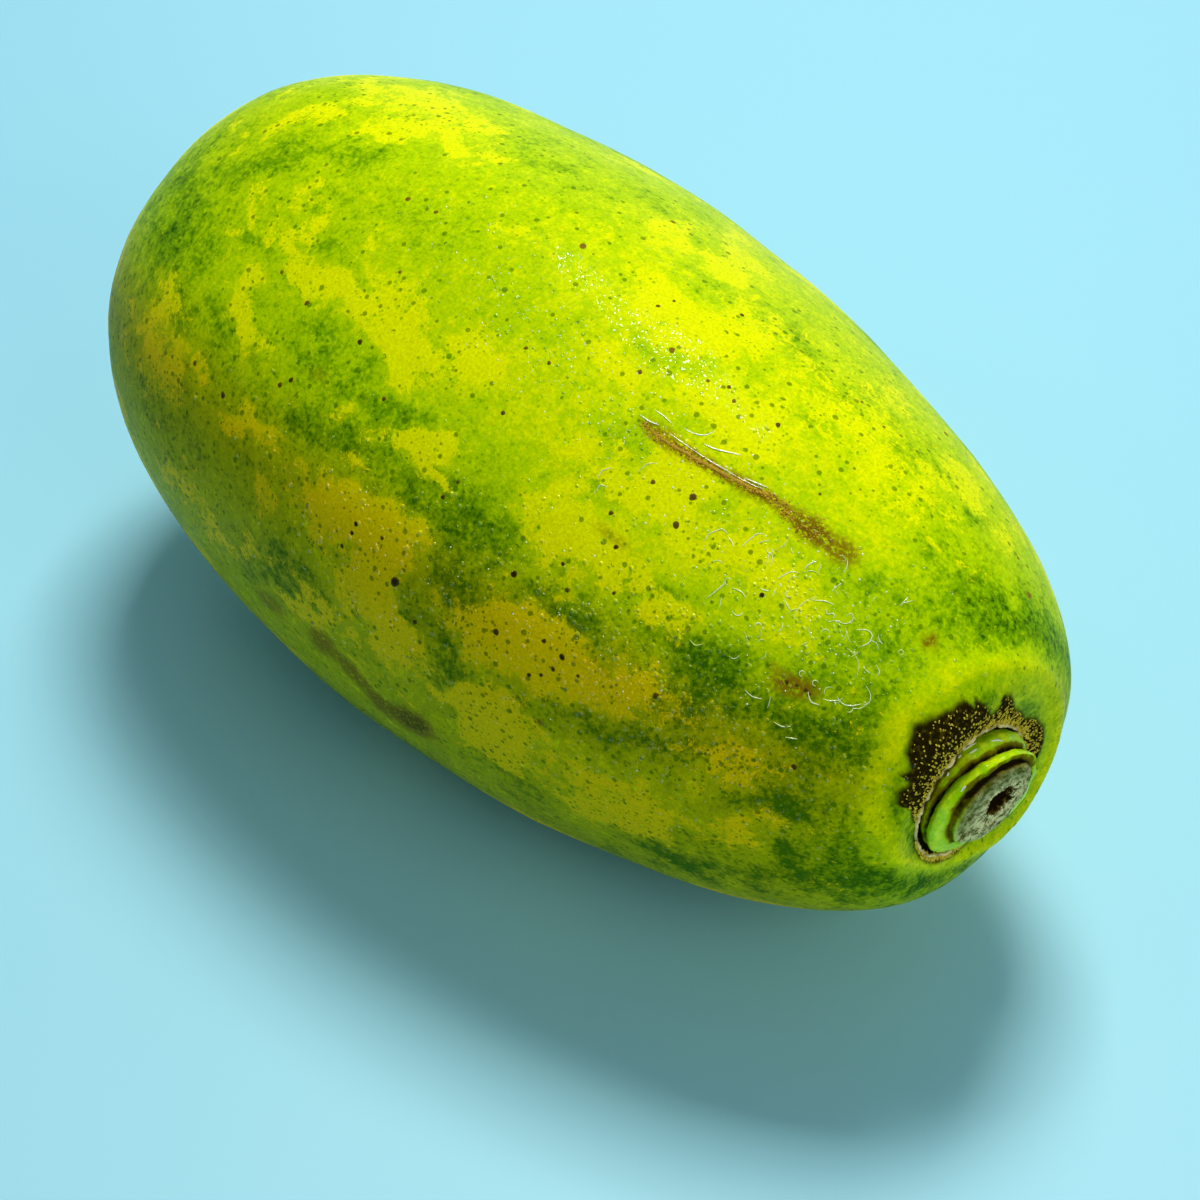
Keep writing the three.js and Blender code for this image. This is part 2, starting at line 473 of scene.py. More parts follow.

# Markings of the skin, read off: pixel column and row, half length, half width, turn
# clockwise in degrees, and how ripe (over 0) or green (under 0) the patch is.
RIPE_PATCHES = (
    (305, 115, 34, 15, -25, 0.9), (385, 132, 44, 8, -8, 0.8), (385, 92, 42, 8, 5, 0.6),
    (238, 140, 16, 7, -20, 0.6), (250, 215, 28, 11, 70, 0.55), (222, 241, 22, 6, -30, 0.5),
    (308, 212, 20, 12, -30, 0.55), (302, 258, 34, 16, 60, 0.9), (350, 295, 46, 20, 25, 1.1),
    (398, 345, 34, 20, 45, 1.0), (245, 312, 48, 15, 75, 0.65), (160, 335, 60, 26, 80, 0.6),
    (430, 113, 50, 16, 20, 0.6), (440, 136, 60, 9, 12, 0.9), (497, 156, 17, 9, -10, 0.8),
    (520, 210, 42, 12, 0, 0.4), (473, 366, 36, 20, -10, 1.1), (395, 300, 44, 18, 70, 0.8),
    (690, 322, 56, 20, 35, 1.0), (620, 372, 38, 12, 30, 0.8), (735, 415, 66, 26, 35, 0.85),
    (665, 240, 36, 12, 10, 0.7), (735, 262, 36, 12, 30, 0.7), (747, 330, 42, 20, 50, 0.8),
    (178, 362, 30, 20, 60, 0.6), (248, 428, 30, 15, 20, 0.65), (195, 490, 42, 13, 60, 0.5),
    (258, 490, 18, 9, 80, 0.7), (225, 530, 30, 12, 50, 0.6), (362, 522, 64, 24, 35, 0.95),
    (375, 572, 42, 24, 75, 0.9), (378, 625, 46, 22, 70, 0.9), (312, 612, 34, 12, 45, 0.75),
    (470, 697, 60, 12, 15, 0.85), (485, 640, 30, 18, 60, 0.7), (425, 444, 44, 13, 22, 0.95),
    (443, 476, 16, 9, 60, 0.9), (343, 408, 13, 8, 0, 0.8), (364, 458, 13, 8, 60, 0.6),
    (590, 440, 32, 13, 10, 0.9), (560, 505, 36, 20, -20, 0.8), (640, 500, 70, 20, 25, 0.9),
    (680, 478, 40, 24, 20, 0.7), (590, 555, 60, 26, 20, 0.85), (560, 590, 20, 10, 0, 0.5),
    (655, 610, 40, 22, 20, 0.6), (540, 655, 80, 34, 25, 0.95), (610, 690, 70, 22, 15, 0.85),
    (500, 722, 60, 14, 30, 0.85), (497, 748, 36, 18, 40, 0.85), (600, 785, 56, 12, 18, 0.7),
    (740, 768, 66, 22, 10, 0.6), (750, 560, 72, 30, 30, 0.75), (800, 640, 46, 20, 30, 0.5),
    (870, 440, 140, 40, 48, 0.5), (620, 810, 70, 14, 15, 0.75), (780, 838, 80, 12, 8, 0.55),
    (860, 690, 40, 14, 20, 0.3), (960, 470, 40, 18, 55, 0.6), (1010, 540, 34, 12, 65, 0.5),
    (575, 235, 60, 14, 25, 0.25), (300, 485, 20, 14, 60, 0.5), (350, 660, 16, 8, 60, 0.6),
    (186, 215, 56, 20, 110, -0.7), (300, 166, 78, 11, -8, -0.7), (213, 325, 33, 11, 75, -0.7),
    (178, 313, 18, 9, 70, -0.8), (250, 246, 20, 8, 15, -0.7), (318, 232, 11, 8, 20, -0.6),
    (320, 352, 62, 20, 38, -0.6), (560, 170, 52, 18, 35, -0.6), (655, 203, 46, 9, 35, -0.6),
    (665, 350, 30, 9, 20, -0.7), (728, 290, 36, 8, 30, -0.7), (395, 408, 52, 17, 42, -0.6),
    (520, 320, 56, 26, 40, -0.35), (630, 446, 28, 9, -5, -1.0),
    (170, 420, 42, 16, 30, -0.35), (325, 430, 50, 20, 20, -0.7), (455, 512, 84, 30, 32, -0.8),
    (285, 575, 50, 20, 35, -0.85), (455, 588, 52, 22, 60, -0.8), (437, 648, 46, 22, 60, -0.9),
    (607, 490, 25, 14, 10, -1.1), (565, 612, 40, 11, 30, -1.1), (645, 580, 52, 11, 15, -0.8),
    (700, 662, 62, 26, 30, -1.15), (715, 708, 84, 20, 15, -0.8), (510, 712, 30, 10, 12, -0.9),
    (625, 737, 84, 16, 14, -0.95), (515, 787, 42, 12, 35, -0.7), (800, 350, 62, 16, 38, -0.9),
    (848, 390, 42, 11, 30, -0.8), (803, 420, 27, 12, 0, -0.8), (757, 370, 32, 10, 20, -0.6),
    (920, 455, 38, 12, 50, -0.8), (945, 560, 58, 28, 60, -0.6), (865, 580, 46, 16, 30, -0.6),
    (977, 520, 18, 8, 60, -0.7), (1005, 620, 32, 18, 60, -0.5), (775, 808, 38, 17, 12, -0.95),
    (845, 735, 44, 22, -15, -0.5), (676, 850, 46, 14, 18, -0.8), (800, 876, 62, 10, 10, -0.7),
    (900, 868, 50, 14, -12, -0.6), (470, 250, 70, 22, 35, -0.3), (1048, 640, 40, 12, 80, -0.5),
    (240, 390, 30, 14, 40, -0.5), (160, 280, 20, 12, 90, -0.5),
)

# Broad lighter and deeper parts of the skin, read off in the same way as the patches; the deep
# ones along the bottom edge are painted shade under the fruit.
TONE_AND_SHADE_AREAS = (
    (780, 400, 270, 110, 44, 0.8), (560, 290, 170, 70, 35, 0.35), (700, 570, 150, 60, 35, 0.5),
    (470, 370, 90, 40, 30, 0.3), (240, 180, 140, 60, -30, -0.4), (420, 190, 120, 50, 20, -0.1),
    (150, 250, 70, 36, 100, -0.6), (330, 390, 150, 60, 38, -0.5), (200, 440, 150, 60, 60, -0.4),
    (480, 570, 170, 56, 35, -0.4), (760, 700, 170, 60, 22, -0.5), (1010, 600, 90, 50, 60, -0.3),
    (850, 860, 160, 40, 0, -0.5), (400, 680, 120, 40, 40, -0.3), (560, 400, 110, 50, 35, 0.7),
    (866, 757, 62, 16, -69, -1.5), (948, 668, 70, 13, -22, -1.3), (896, 790, 34, 9, 95, -0.9),
    (1018, 690, 34, 10, 25, 1.2), (900, 880, 80, 20, -10, -0.8), (974, 866, 50, 10, -30, -0.9),
    (830, 850, 40, 16, 10, -0.3), (700, 868, 120, 16, 14, -1.0), (320, 350, 60, 30, 38, 0.35),
)

# The part of the skin that is still wet and glints in the lamp, read off in the same way.
WET_AREA = (640, 430, 330, 170, 40)

# Corky specks, read off: pixel column and row, radius in millimetres and darkness.
SPECKS = (
    (583, 246, 0.75, 0.5), (673, 222, 0.6, 0.5), (1029, 595, 0.8, 0.4), (946, 434, 0.7, 0.5),
    (395, 582, 1.05, 1.0), (762, 595, 0.5, 1.0), (514, 574, 0.7, 1.0), (563, 564, 0.45, 0.9),
    (408, 199, 0.6, 0.6), (436, 212, 0.5, 0.6), (307, 303, 0.6, 0.7), (400, 272, 0.45, 0.5),
    (282, 272, 0.5, 0.5), (360, 342, 0.6, 0.9), (291, 380, 0.6, 0.9), (280, 385, 0.6, 0.8),
    (223, 395, 0.7, 0.9), (195, 363, 0.6, 0.7), (384, 399, 0.5, 0.8), (526, 348, 0.45, 0.6),
    (549, 363, 0.45, 0.7), (503, 413, 0.5, 0.8), (658, 306, 0.45, 0.7), (674, 301, 0.35, 0.8),
    (672, 350, 0.65, 0.5), (742, 315, 0.5, 0.8), (640, 372, 0.5, 0.7), (708, 381, 0.4, 0.5),
    (729, 387, 0.45, 0.7), (734, 401, 0.45, 0.5), (778, 425, 0.55, 0.8), (653, 482, 0.5, 0.7),
    (693, 497, 0.75, 0.8), (676, 525, 0.7, 0.8), (611, 513, 0.5, 0.8), (616, 547, 0.5, 0.9),
    (567, 590, 0.5, 0.8), (356, 524, 0.55, 1.0), (352, 533, 0.5, 1.0), (342, 546, 0.5, 0.9),
    (382, 538, 0.45, 0.8), (415, 622, 0.6, 0.9), (496, 632, 0.7, 0.9), (544, 641, 0.5, 0.9),
    (562, 657, 0.65, 1.0), (553, 669, 0.5, 0.9), (529, 675, 0.5, 0.9), (541, 675, 0.45, 0.9),
    (656, 696, 0.7, 0.8), (540, 722, 0.7, 0.5), (794, 767, 0.6, 0.9), (458, 482, 0.4, 0.8),
    (443, 497, 0.5, 0.9), (578, 676, 0.4, 0.8), (614, 593, 0.4, 0.8), (824, 813, 0.4, 0.6),
    (787, 682, 0.5, 0.85), (797, 685, 0.45, 0.8), (806, 690, 0.5, 0.85), (810, 694, 0.35, 0.8),
    (1018, 558, 0.4, 0.5), (862, 402, 0.4, 0.6), (884, 427, 0.4, 0.6), (820, 494, 0.35, 0.6),
)


def reach_of(pixels, u, v, length, width, turn):
    """Squared distance of pixels from a mark: 1 at the edge of its turned ellipse."""
    c, s = math.cos(math.radians(turn)), math.sin(math.radians(turn))
    right, down = pixels[:, 0] - u, pixels[:, 1] - v
    return ((right * c + down * s) / length) ** 2 + ((down * c - right * s) / width) ** 2


def patch_fields(pixels):
    """How yellow and how green the skin is at each pixel, from the patches read off."""
    yellow, green = np.zeros(len(pixels)), np.zeros(len(pixels))
    for *ellipse, ripeness in RIPE_PATCHES:
        amount = abs(ripeness) * np.exp(-PATCH_FALL * reach_of(pixels, *ellipse) ** PATCH_POWER)
        if ripeness > 0:
            yellow = np.maximum(yellow, amount)
        else:
            green = np.maximum(green, amount)
    return yellow, green


def tone_and_shade_field(pixels):
    """How light the skin is at each pixel over the broad areas read off, with painted shade along the
    bottom edge.
    """
    return sum(amount * np.exp(-reach_of(pixels, *ellipse)) for *ellipse, amount in TONE_AND_SHADE_AREAS)


def hidden_fields(points):
    """The same kind of patches for the side that the photograph doesn't show."""
    blotches = HIDDEN_CONTRAST * fractal(points * HIDDEN_STRETCH, HIDDEN_BLOTCH, 5, 4.0)
    yellow = np.clip(HIDDEN_YELLOW + blotches, 0, MOST_YELLOW)
    return yellow, np.clip(HIDDEN_GREEN - GREEN_SHARE * blotches, 0, MOST_GREEN)


# The corky star round the stem: its outer edge read off in pixels of the photograph, and
# turns in degrees and a radius in millimetres for the part that is out of sight. Then, in
# millimetres, size and reach of its ragged outline and how it fades across it.
HIDDEN_STAR_TURNS = (215, 235, 255, 275, 295, 315, 335)
HIDDEN_STAR_RADIUS = 12.6
STAR_RAG_SIZE, STAR_RAG = 1.6, 0.22
STAR_FADE = (-0.6, 0.5)
STAR_EDGE = (
    (912, 723), (934, 715), (950, 707), (963, 698), (973, 696), (975, 707), (991, 713), (999, 706),
    (1002, 694), (1010, 693), (1014, 706), (1025, 717), (1037, 717), (1044, 727), (1044, 741),
    (1040, 752), (945, 845), (927, 836), (915, 824), (909, 809), (895, 804), (897, 790), (909, 783),
    (910, 768), (899, 774), (904, 752), (909, 734),
)

# Crest of the pale swollen ring round that star, read off in the same way.
RING_CREST = (
    (866, 805), (873, 783), (880, 769), (891, 750), (904, 714), (927, 699), (946, 687), (974, 670),
    (1004, 665), (1032, 670), (1054, 690), (1058, 717), (1055, 739), (1015, 819), (996, 838),
    (974, 849), (946, 858), (919, 860), (891, 844), (877, 830),
)

# That crest's strength. Round it, in millimetres: its half width, where the skin inside it is
# reached and where it begins, and middle and half width of the greener band outside. The last
# is how far along the fruit the stem end begins.
CREST_STRENGTH = 0.9
CREST_WIDTH = 1.6
INNER_SLOPE = (-4.0, -1.5)
OUTER_BAND = (6.0, 3.6)
STEM_END = 70.0

# Scratches and bruises, read off: pixel column and row, half length, half width, turn
# clockwise in degrees, and strength.
TAN_MARKS = (
    (664, 438, 28, 10, 36, 0.9), (700, 460, 46, 7, 31, 1.1), (748, 487, 40, 8, 29, 1.1),
    (788, 512, 24, 8, 36, 0.9), (812, 530, 30, 13, 36, 1.2), (840, 550, 22, 14, 30, 0.95),
    (930, 641, 9, 7, -20, 1.1), (795, 686, 27, 12, 16, 1.05), (776, 668, 10, 5, 30, 0.6),
    (612, 536, 22, 5, 35, 0.5), (322, 642, 18, 9, 48, 1.0), (352, 672, 34, 6, 48, 1.0),
    (384, 706, 24, 7, 40, 1.15), (412, 722, 28, 10, 32, 1.3), (272, 603, 18, 6, 42, 0.8),
    (320, 375, 12, 6, 10, 0.4),
)

# Relief of the skin in millimetres: size, height and seed of its swells, where they begin
# round the stem, height of the ring, and height, grain and roughness of the cork.
SWELLS = ((22.0, 0.25, 1.0), (6.0, 0.05, 2.0))
SWELLS_START = 20.0
RING_HEIGHT = 0.8
CORK_HEIGHT, CORK_GRAIN, CORK_ROUGHNESS = 0.18, 0.8, 0.22

# The skin's rings: fine steps along its profile and how many of them are on the shoulder, how
# far the first ring is from the tip in ring steps, and the last one from the groove in
# millimetres.
PROFILE_STEPS = 4000
SHOULDER_STEPS = 1200
FIRST_RING = 0.6
GROOVE_MARGIN = 0.25

# Rings of the groove and of the socket in millimetres: how far the brim drops, then radius
# past the groove's wall or the socket's, and height over the seat.
BRIM_DROP = 0.12
GROOVE_RINGS = ((-0.25, 0.2), (-0.5, 0.0))
SOCKET_RINGS = ((0.3, 0.0), (0.0, -0.3), (0.0, -11.4))


def round_table(angles, values, wanted):
    """Values over a full turn, joined by straight lines between the given angles."""
    order = np.argsort(angles)
    a, v = np.asarray(angles)[order], np.asarray(values)[order]
    a = np.concatenate([a - 2 * np.pi, a, a + 2 * np.pi])
    return np.interp(wanted, a, np.concatenate([v, v, v]))


class SkinFields:
    """Where the skin is yellow, green, shaded, dotted, corky or bruised."""

    def __init__(self, layout):
        self.layout = layout
        self.crest = self.round_stem(RING_CREST)
        self.star = self.round_stem(STAR_EDGE)
        self.star[0].extend(math.radians(turn) for turn in HIDDEN_STAR_TURNS)
        self.star[1].extend(HIDDEN_STAR_RADIUS for _ in HIDDEN_STAR_TURNS)

    def round_stem(self, pixels):
        """Pixels of the plain skin as angles and radii round the stem."""
        angles, radii = [], []
        for u, v in pixels:
            hit = self.layout.own(self.layout.on_skin(u, v))
            out = hit[1:] - [self.layout.stem.side, self.layout.stem.rise]
            angles.append(math.atan2(out[1], out[0]))
            radii.append(math.hypot(*out))
        return angles, radii

    def zones(self, points):
        """Turn and radius round the stem, whether a point is at the stem end, and how much it is
        on the ring's crest, inside it and in the band outside it."""
        stem = self.layout.stem
        out_y, out_z = points[:, 1] - stem.side, points[:, 2] - stem.rise
        turn, from_stem = np.arctan2(out_z, out_y), np.hypot(out_y, out_z)
        at_end = points[:, 0] > STEM_END
        beyond = from_stem - round_table(*self.crest, turn)
        middle, width = OUTER_BAND
        crest = CREST_STRENGTH * np.exp(-((beyond / CREST_WIDTH) ** 2)) * at_end
        inside = (1 - smooth(*INNER_SLOPE, beyond)) * at_end
        outside = np.exp(-(((beyond - middle) / width) ** 2)) * at_end
        return turn, from_stem, at_end, crest, inside, outside

    def at(self, points, normals):
        """Every field at points of the skin, given in the fruit's own axes."""
        layout = self.layout
        laid = layout.laid(points)
        warp = np.stack([fractal(points, WARP_SIZE, 4, seed) for seed in WARP_SEEDS], axis=-1)
        seen = layout.pixels(laid) + warp * PATCH_WARP
        turned = normals @ layout.turn.T
        facing = ((layout.camera - laid) * turned).sum(1)
        facing /= np.linalg.norm(layout.camera - laid, axis=1)
        share = smooth(*SEEN_FADE, facing)
        yellow, green = (
            behind + (front - behind) * share
            for front, behind in zip(patch_fields(seen), hidden_fields(points)))

        # The crest round the stem is pale, and the skin on both sides of it is greener.
        turn, from_stem, at_end, crest, inside, outside = self.zones(points)
        yellow = yellow * (1 - np.maximum(crest, inside)) * (1 - 0.7 * outside) + 0.15 * crest
        green = green * (1 - crest) * (1 - inside) + 0.7 * inside + 0.6 * outside
        tone = tone_and_shade_field(seen) * share * (1 - crest) + 1.1 * crest
        # Painted shade: darker colours for skin that turns away from the lamp.
        shade = smooth(*SHADE_FADE, turned @ SHADED_SIDE)
        far = np.where(at_end, smooth(*SHADE_START, from_stem), 1.0)
        shade *= STEM_SHADE + (1 - STEM_SHADE) * far

        # Dots come in clusters along the border between yellow and green.
        turning = np.exp(-(((yellow - DOTTED_YELLOW) / DOTTED_SPREAD) ** 2))
        border = turning * np.clip(0.7 + green, 0, 1)
        clusters = smooth(-0.25, 0.25, fractal(points, CLUSTER_SIZE, 2, 9.0))
        edge = round_table(*self.star, turn) + fractal(points, STAR_RAG_SIZE, 3, 5.0) * STAR_RAG
        return {
            "yellow": yellow, "green": green, "shade": shade, "tone": tone,
            "cork": np.where(at_end, 1 - smooth(*STAR_FADE, from_stem - edge), 0.0),
            "dew": share * np.exp(-reach_of(seen, *WET_AREA)),
            "spots": border * (0.25 + 0.75 * clusters),
            "tan": self.bruises(layout.pixels(laid), facing)}

    def bruises(self, seen, facing):
        """Bruised and scratched places."""
        marks = np.zeros(len(seen))
        for *ellipse, strength in TAN_MARKS:
            marks = np.maximum(marks, strength * (1 - smooth(0.2, 1.7, reach_of(seen, *ellipse))))
        return marks * (facing > 0)


def dots(tree, where, spacing, low, high, density):
    """Soft round dots at a spacing in millimetres, of low to high share of it in radius."""
    wobble = grain(tree, where, spacing * 0.8, 1.0)
    cells = add(tree, "ShaderNodeTexVoronoi", {"Vector": where, "Scale": 1 / (spacing * MM)})
    luck = add(tree, "ShaderNodeSeparateColor", {0: cells.outputs["Color"]})
    radius = mathed(tree, "MULTIPLY_ADD", luck.outputs[0], high - low, low)
    away = mathed(tree, "MULTIPLY_ADD", wobble, 0.16, cells.outputs["Distance"])
    edge = mathed(tree, "SUBTRACT", away, mathed(tree, "ADD", radius, 0.08))
    chosen = mathed(tree, "LESS_THAN", luck.outputs[1], density)
    return mathed(tree, "MULTIPLY", stepped(tree, edge, 0.05, -0.05), chosen)


def ripe_skin(colours, name="waxy_papaya_skin", wet=0.0):
    """Waxy papaya skin turning from green to yellow: mottled colour under a satin gloss, with
    shade painted into the colour on the side turned from the lamp. Where it is wet, a clear film
    over the same colour gives small sharp glints."""
    material, tree = material_tree(name)
    where = add(tree, "ShaderNodeTexCoord").outputs["Object"]
    yellow, green, shade, tone, cork, dew, spots, tan = attributes(
        tree, "yellow", "green", "shade", "tone", "cork", "dew", "spots", "tan")

    # Green deepens in blotches of 5 mm and 1.8 mm and in flecks of 0.7 mm.
    broad = swing(tree, where, 5.0, 2.0, 5.0, 0.7)
    close = swing(tree, where, 1.8, 2.0, 3.0, 0.6)
    flecks = swing(tree, where, 0.7, 2.2, 2.0, 0.6)
    unripe = green
    for part in (broad, close, flecks):
        unripe = mathed(tree, "ADD", unripe, part)
    unripe = mathed(tree, "MULTIPLY_ADD", tone, -0.6, unripe)
    pale = mixed(tree, stepped(tree, unripe, -0.9, 0.1), colours.bright_lime, colours.lime)
    upper = mixed(tree, stepped(tree, unripe, 0.05, 0.95), pale, colours.leaf_green)
    upper = mixed(tree, stepped(tree, unripe, 0.75, 1.7), upper, colours.deep_green)
    # Painted shade: on the side turned from the lamp the greens give way to darker copies.
    shaded_pale = mixed(tree, stepped(tree, unripe, -0.9, 0.1), colours.shaded_pale_olive, colours.shaded_olive)
    lower = mixed(tree, stepped(tree, unripe, 0.05, 1.6), shaded_pale, colours.shaded_deep_olive)
    under = mixed(tree, shade, upper, lower)

    # Yellow breaks in with a ragged border, in blotches of 3.2 mm and the same flecks.
    ragged = swing(tree, where, 3.2, 2.6, 7.0, 0.82, 0.5)
    ripe = mathed(tree, "ADD", yellow, mathed(tree, "MULTIPLY_ADD", flecks, 0.35, ragged))
    turned = stepped(tree, ripe, 0.26, 0.56)
    # Painted shade again: ripe lemon gives way to a darker, more orange copy there.
    lemon_with_shade = mixed(tree, shade, colours.lemon, colours.shaded_amber)
    base = mixed(tree, turned, under, lemon_with_shade)

    # Green dots of 0.3 to 1 mm crowd where yellow meets green and where the skin is greenest.
    crowd = mathed(tree, "MAXIMUM", spots, stepped(tree, unripe, 0.1, 1.0, 0.0, 0.65))
    crowd = mathed(tree, "MULTIPLY_ADD", shade, 0.2, crowd)
    large = dots(tree, where, 1.5, 0.12, 0.33, mathed(tree, "MULTIPLY", crowd, 0.95))
    small = dots(tree, where, 0.85, 0.12, 0.36, mathed(tree, "MULTIPLY_ADD", crowd, 0.8, 0.06))
    dot_green = mixed(tree, 0.25, colours.deep_green, colours.leaf_green)
    # The dots and leaf green take the painted shade's darker copies too.
    dot_green = mixed(tree, shade, dot_green, colours.shaded_deep_olive)
    leaf = mixed(tree, shade, colours.leaf_green, colours.shaded_deep_olive)
    base = mixed(tree, mathed(tree, "MULTIPLY", large, 0.7), base, dot_green)
    base = mixed(tree, mathed(tree, "MULTIPLY", small, 0.62), base, leaf)

    # Mottle of the wax, 0.45 mm, lighter and darker.
    mottle = stepped(tree, grain(tree, where, 0.45, 2.0), 0.3, 0.7, 0.86, 1.08)
    base = add(
        tree, "ShaderNodeMix", {"Factor": 1.0, 6: base, 7: mottle},
        data_type="RGBA", blend_type="MULTIPLY").outputs[2]

    # Bruises go brown in flecks of 0.6 mm; the star round the stem is dark cork.
    patchy = stepped(tree, grain(tree, where, 0.6, 4.0), 0.28, 0.56)
    bruise = mathed(tree, "MULTIPLY", tan, patchy, clamp=True)
    brown = mixed(tree, stepped(tree, tan, 1.0, 1.5), linear("#86700a"), linear("#4a3c0a"))
    base = mixed(tree, bruise, base, brown)
    speck = stepped(tree, grain(tree, where, 0.7, 3.0), 0.5, 0.68)
    bark = mixed(tree, speck, linear("#241c02"), linear("#50420a"))
    base = mixed(tree, cork, base, bark)

    # Shallow pores of 0.6 mm over soft swells of 2.5 mm.
    pores = mathed(
        tree, "MULTIPLY_ADD", grain(tree, where, 0.6, 2.0), 0.6, grain(tree, where, 2.5, 3.0))
    bump = add(tree, "ShaderNodeBump", {"Height": pores, "Strength": 0.25, "Distance": 0.3 * MM})
    gloss = stepped(tree, grain(tree, where, 1.4, 3.0), 0.3, 0.7, 0.34, 0.46)
    rough = mathed(tree, "MAXIMUM", gloss, mathed(tree, "MULTIPLY", cork, 0.75))

    # The upper side is still wet in flecks of 0.4 mm that catch the lamp.
    dull = mathed(tree, "MAXIMUM", shade, cork)
    drying = mathed(tree, "SUBTRACT", dew, dull)
    glints = mathed(
        tree, "MULTIPLY", stepped(tree, grain(tree, where, 0.4, 1.0), 0.66, 0.7),
        stepped(tree, drying, 0.1, 0.6))
    finish_tree(tree, {
        "Base Color": base, "Roughness": rough, "Normal": bump.outputs[0], "IOR": 1.45,
        "Specular Tint": linear("#f8ff18"), "Specular IOR Level": 0.02,
        "Coat Weight": mathed(tree, "MAXIMUM", wet, glints), "Coat Roughness": 0.06,
        "Coat IOR": 1.5})
    return material


def ring_angles(shape, stem):
    """Polar angles of the skin's rings, closer together round the stem."""
    polar = np.linspace(0, np.pi, PROFILE_STEPS)
    x, radius = profile(shape, polar)
    near_stem = (x > 0) & (radius < shape.shoulder_reach)
    step = np.where(near_stem, shape.shoulder_step, shape.skin_step)
    length = np.hypot(np.diff(x), np.diff(radius))
    passed = np.concatenate([[0], np.cumsum(length / step[1:])])
    inwards = slice(None, -SHOULDER_STEPS - 1, -1)
    edge = np.interp(stem.groove_radius + GROOVE_MARGIN, radius[inwards], polar[inwards])
    last = np.interp(edge, polar, passed)
    return np.interp(np.linspace(FIRST_RING, last, int(last)), passed, polar)


class PAPAYA_OT_skin(bpy.types.Operator):
    """Builds the fruit's skin with its ripening pattern, corky star and groove"""

    bl_idname = "papaya.skin"
    bl_label = "Build the skin"

    def execute(self, context):
        settings = context.scene.papaya
        layout = Layout(settings)
        shape, stem = settings.shape, settings.stem
        turns = np.linspace(0, FULL_TURN, shape.around, endpoint=False)
        polar, around = np.meshgrid(ring_angles(shape, stem), turns, indexing="ij")
        rings = skin_points(shape, stem, polar, around)
        groove = self.groove(stem, rings[-1, :, 0], turns)
        rings = np.concatenate([rings, groove])
        flat, normals = rings.reshape(-1, 3), ring_normals(rings).reshape(-1, 3)
        skin = SkinFields(layout)
        fields = skin.at(flat, normals)

        # Gentle swells, the raised ring round the stem, and the star as a thin rough plate.
        _, from_stem, at_end, crest, _, _ = skin.zones(flat)
        away = np.where(at_end, from_stem, 2 * SWELLS_START)
        lift = sum(height * fractal(flat, size, 2, seed) for size, height, seed in SWELLS)
        lift *= smooth(stem.groove_radius, SWELLS_START, away)
        lift += RING_HEIGHT * crest
        lift += fields["cork"] * (CORK_HEIGHT + CORK_ROUGHNESS * fractal(flat, CORK_GRAIN, 2, 3.0))
        lift[-len(groove) * shape.around:] = 0.0
        laid = layout.laid(flat + normals * lift[:, None])
        laid[:, 2] = np.maximum(laid[:, 2], 0.0)

        tip = layout.laid(skin_points(shape, stem, np.array([TIP_ANGLE]), np.array([0.0])))
        socket = layout.laid(np.array([[stem.seat - stem.socket_depth, stem.side, stem.rise]]))
        piece = new_object(
            "papaya_skin", np.concatenate([tip, laid, socket]),
            closed_faces(len(rings), shape.around), ripe_skin(settings.skin))
        paint(piece, **{layer: with_poles(values) for layer, values in fields.items()})
        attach(piece, "root")
        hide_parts("fruit")
        return {"FINISHED"}

    def groove(self, stem, brim, turns):
        """Rings of the groove and the socket, down from the heights of the skin's last ring."""
        rows = [(stem.groove_radius, brim - BRIM_DROP)]
        rows += [(stem.groove_radius + more, stem.seat + up) for more, up in GROOVE_RINGS]
        rows += [(stem.socket_radius + more, stem.seat + up) for more, up in SOCKET_RINGS]
        return np.array([
            np.stack([
                np.broadcast_to(height, turns.shape), stem.side + radius * np.cos(turns),
                stem.rise + radius * np.sin(turns)], axis=-1)
            for radius, height in rows])


# The stem

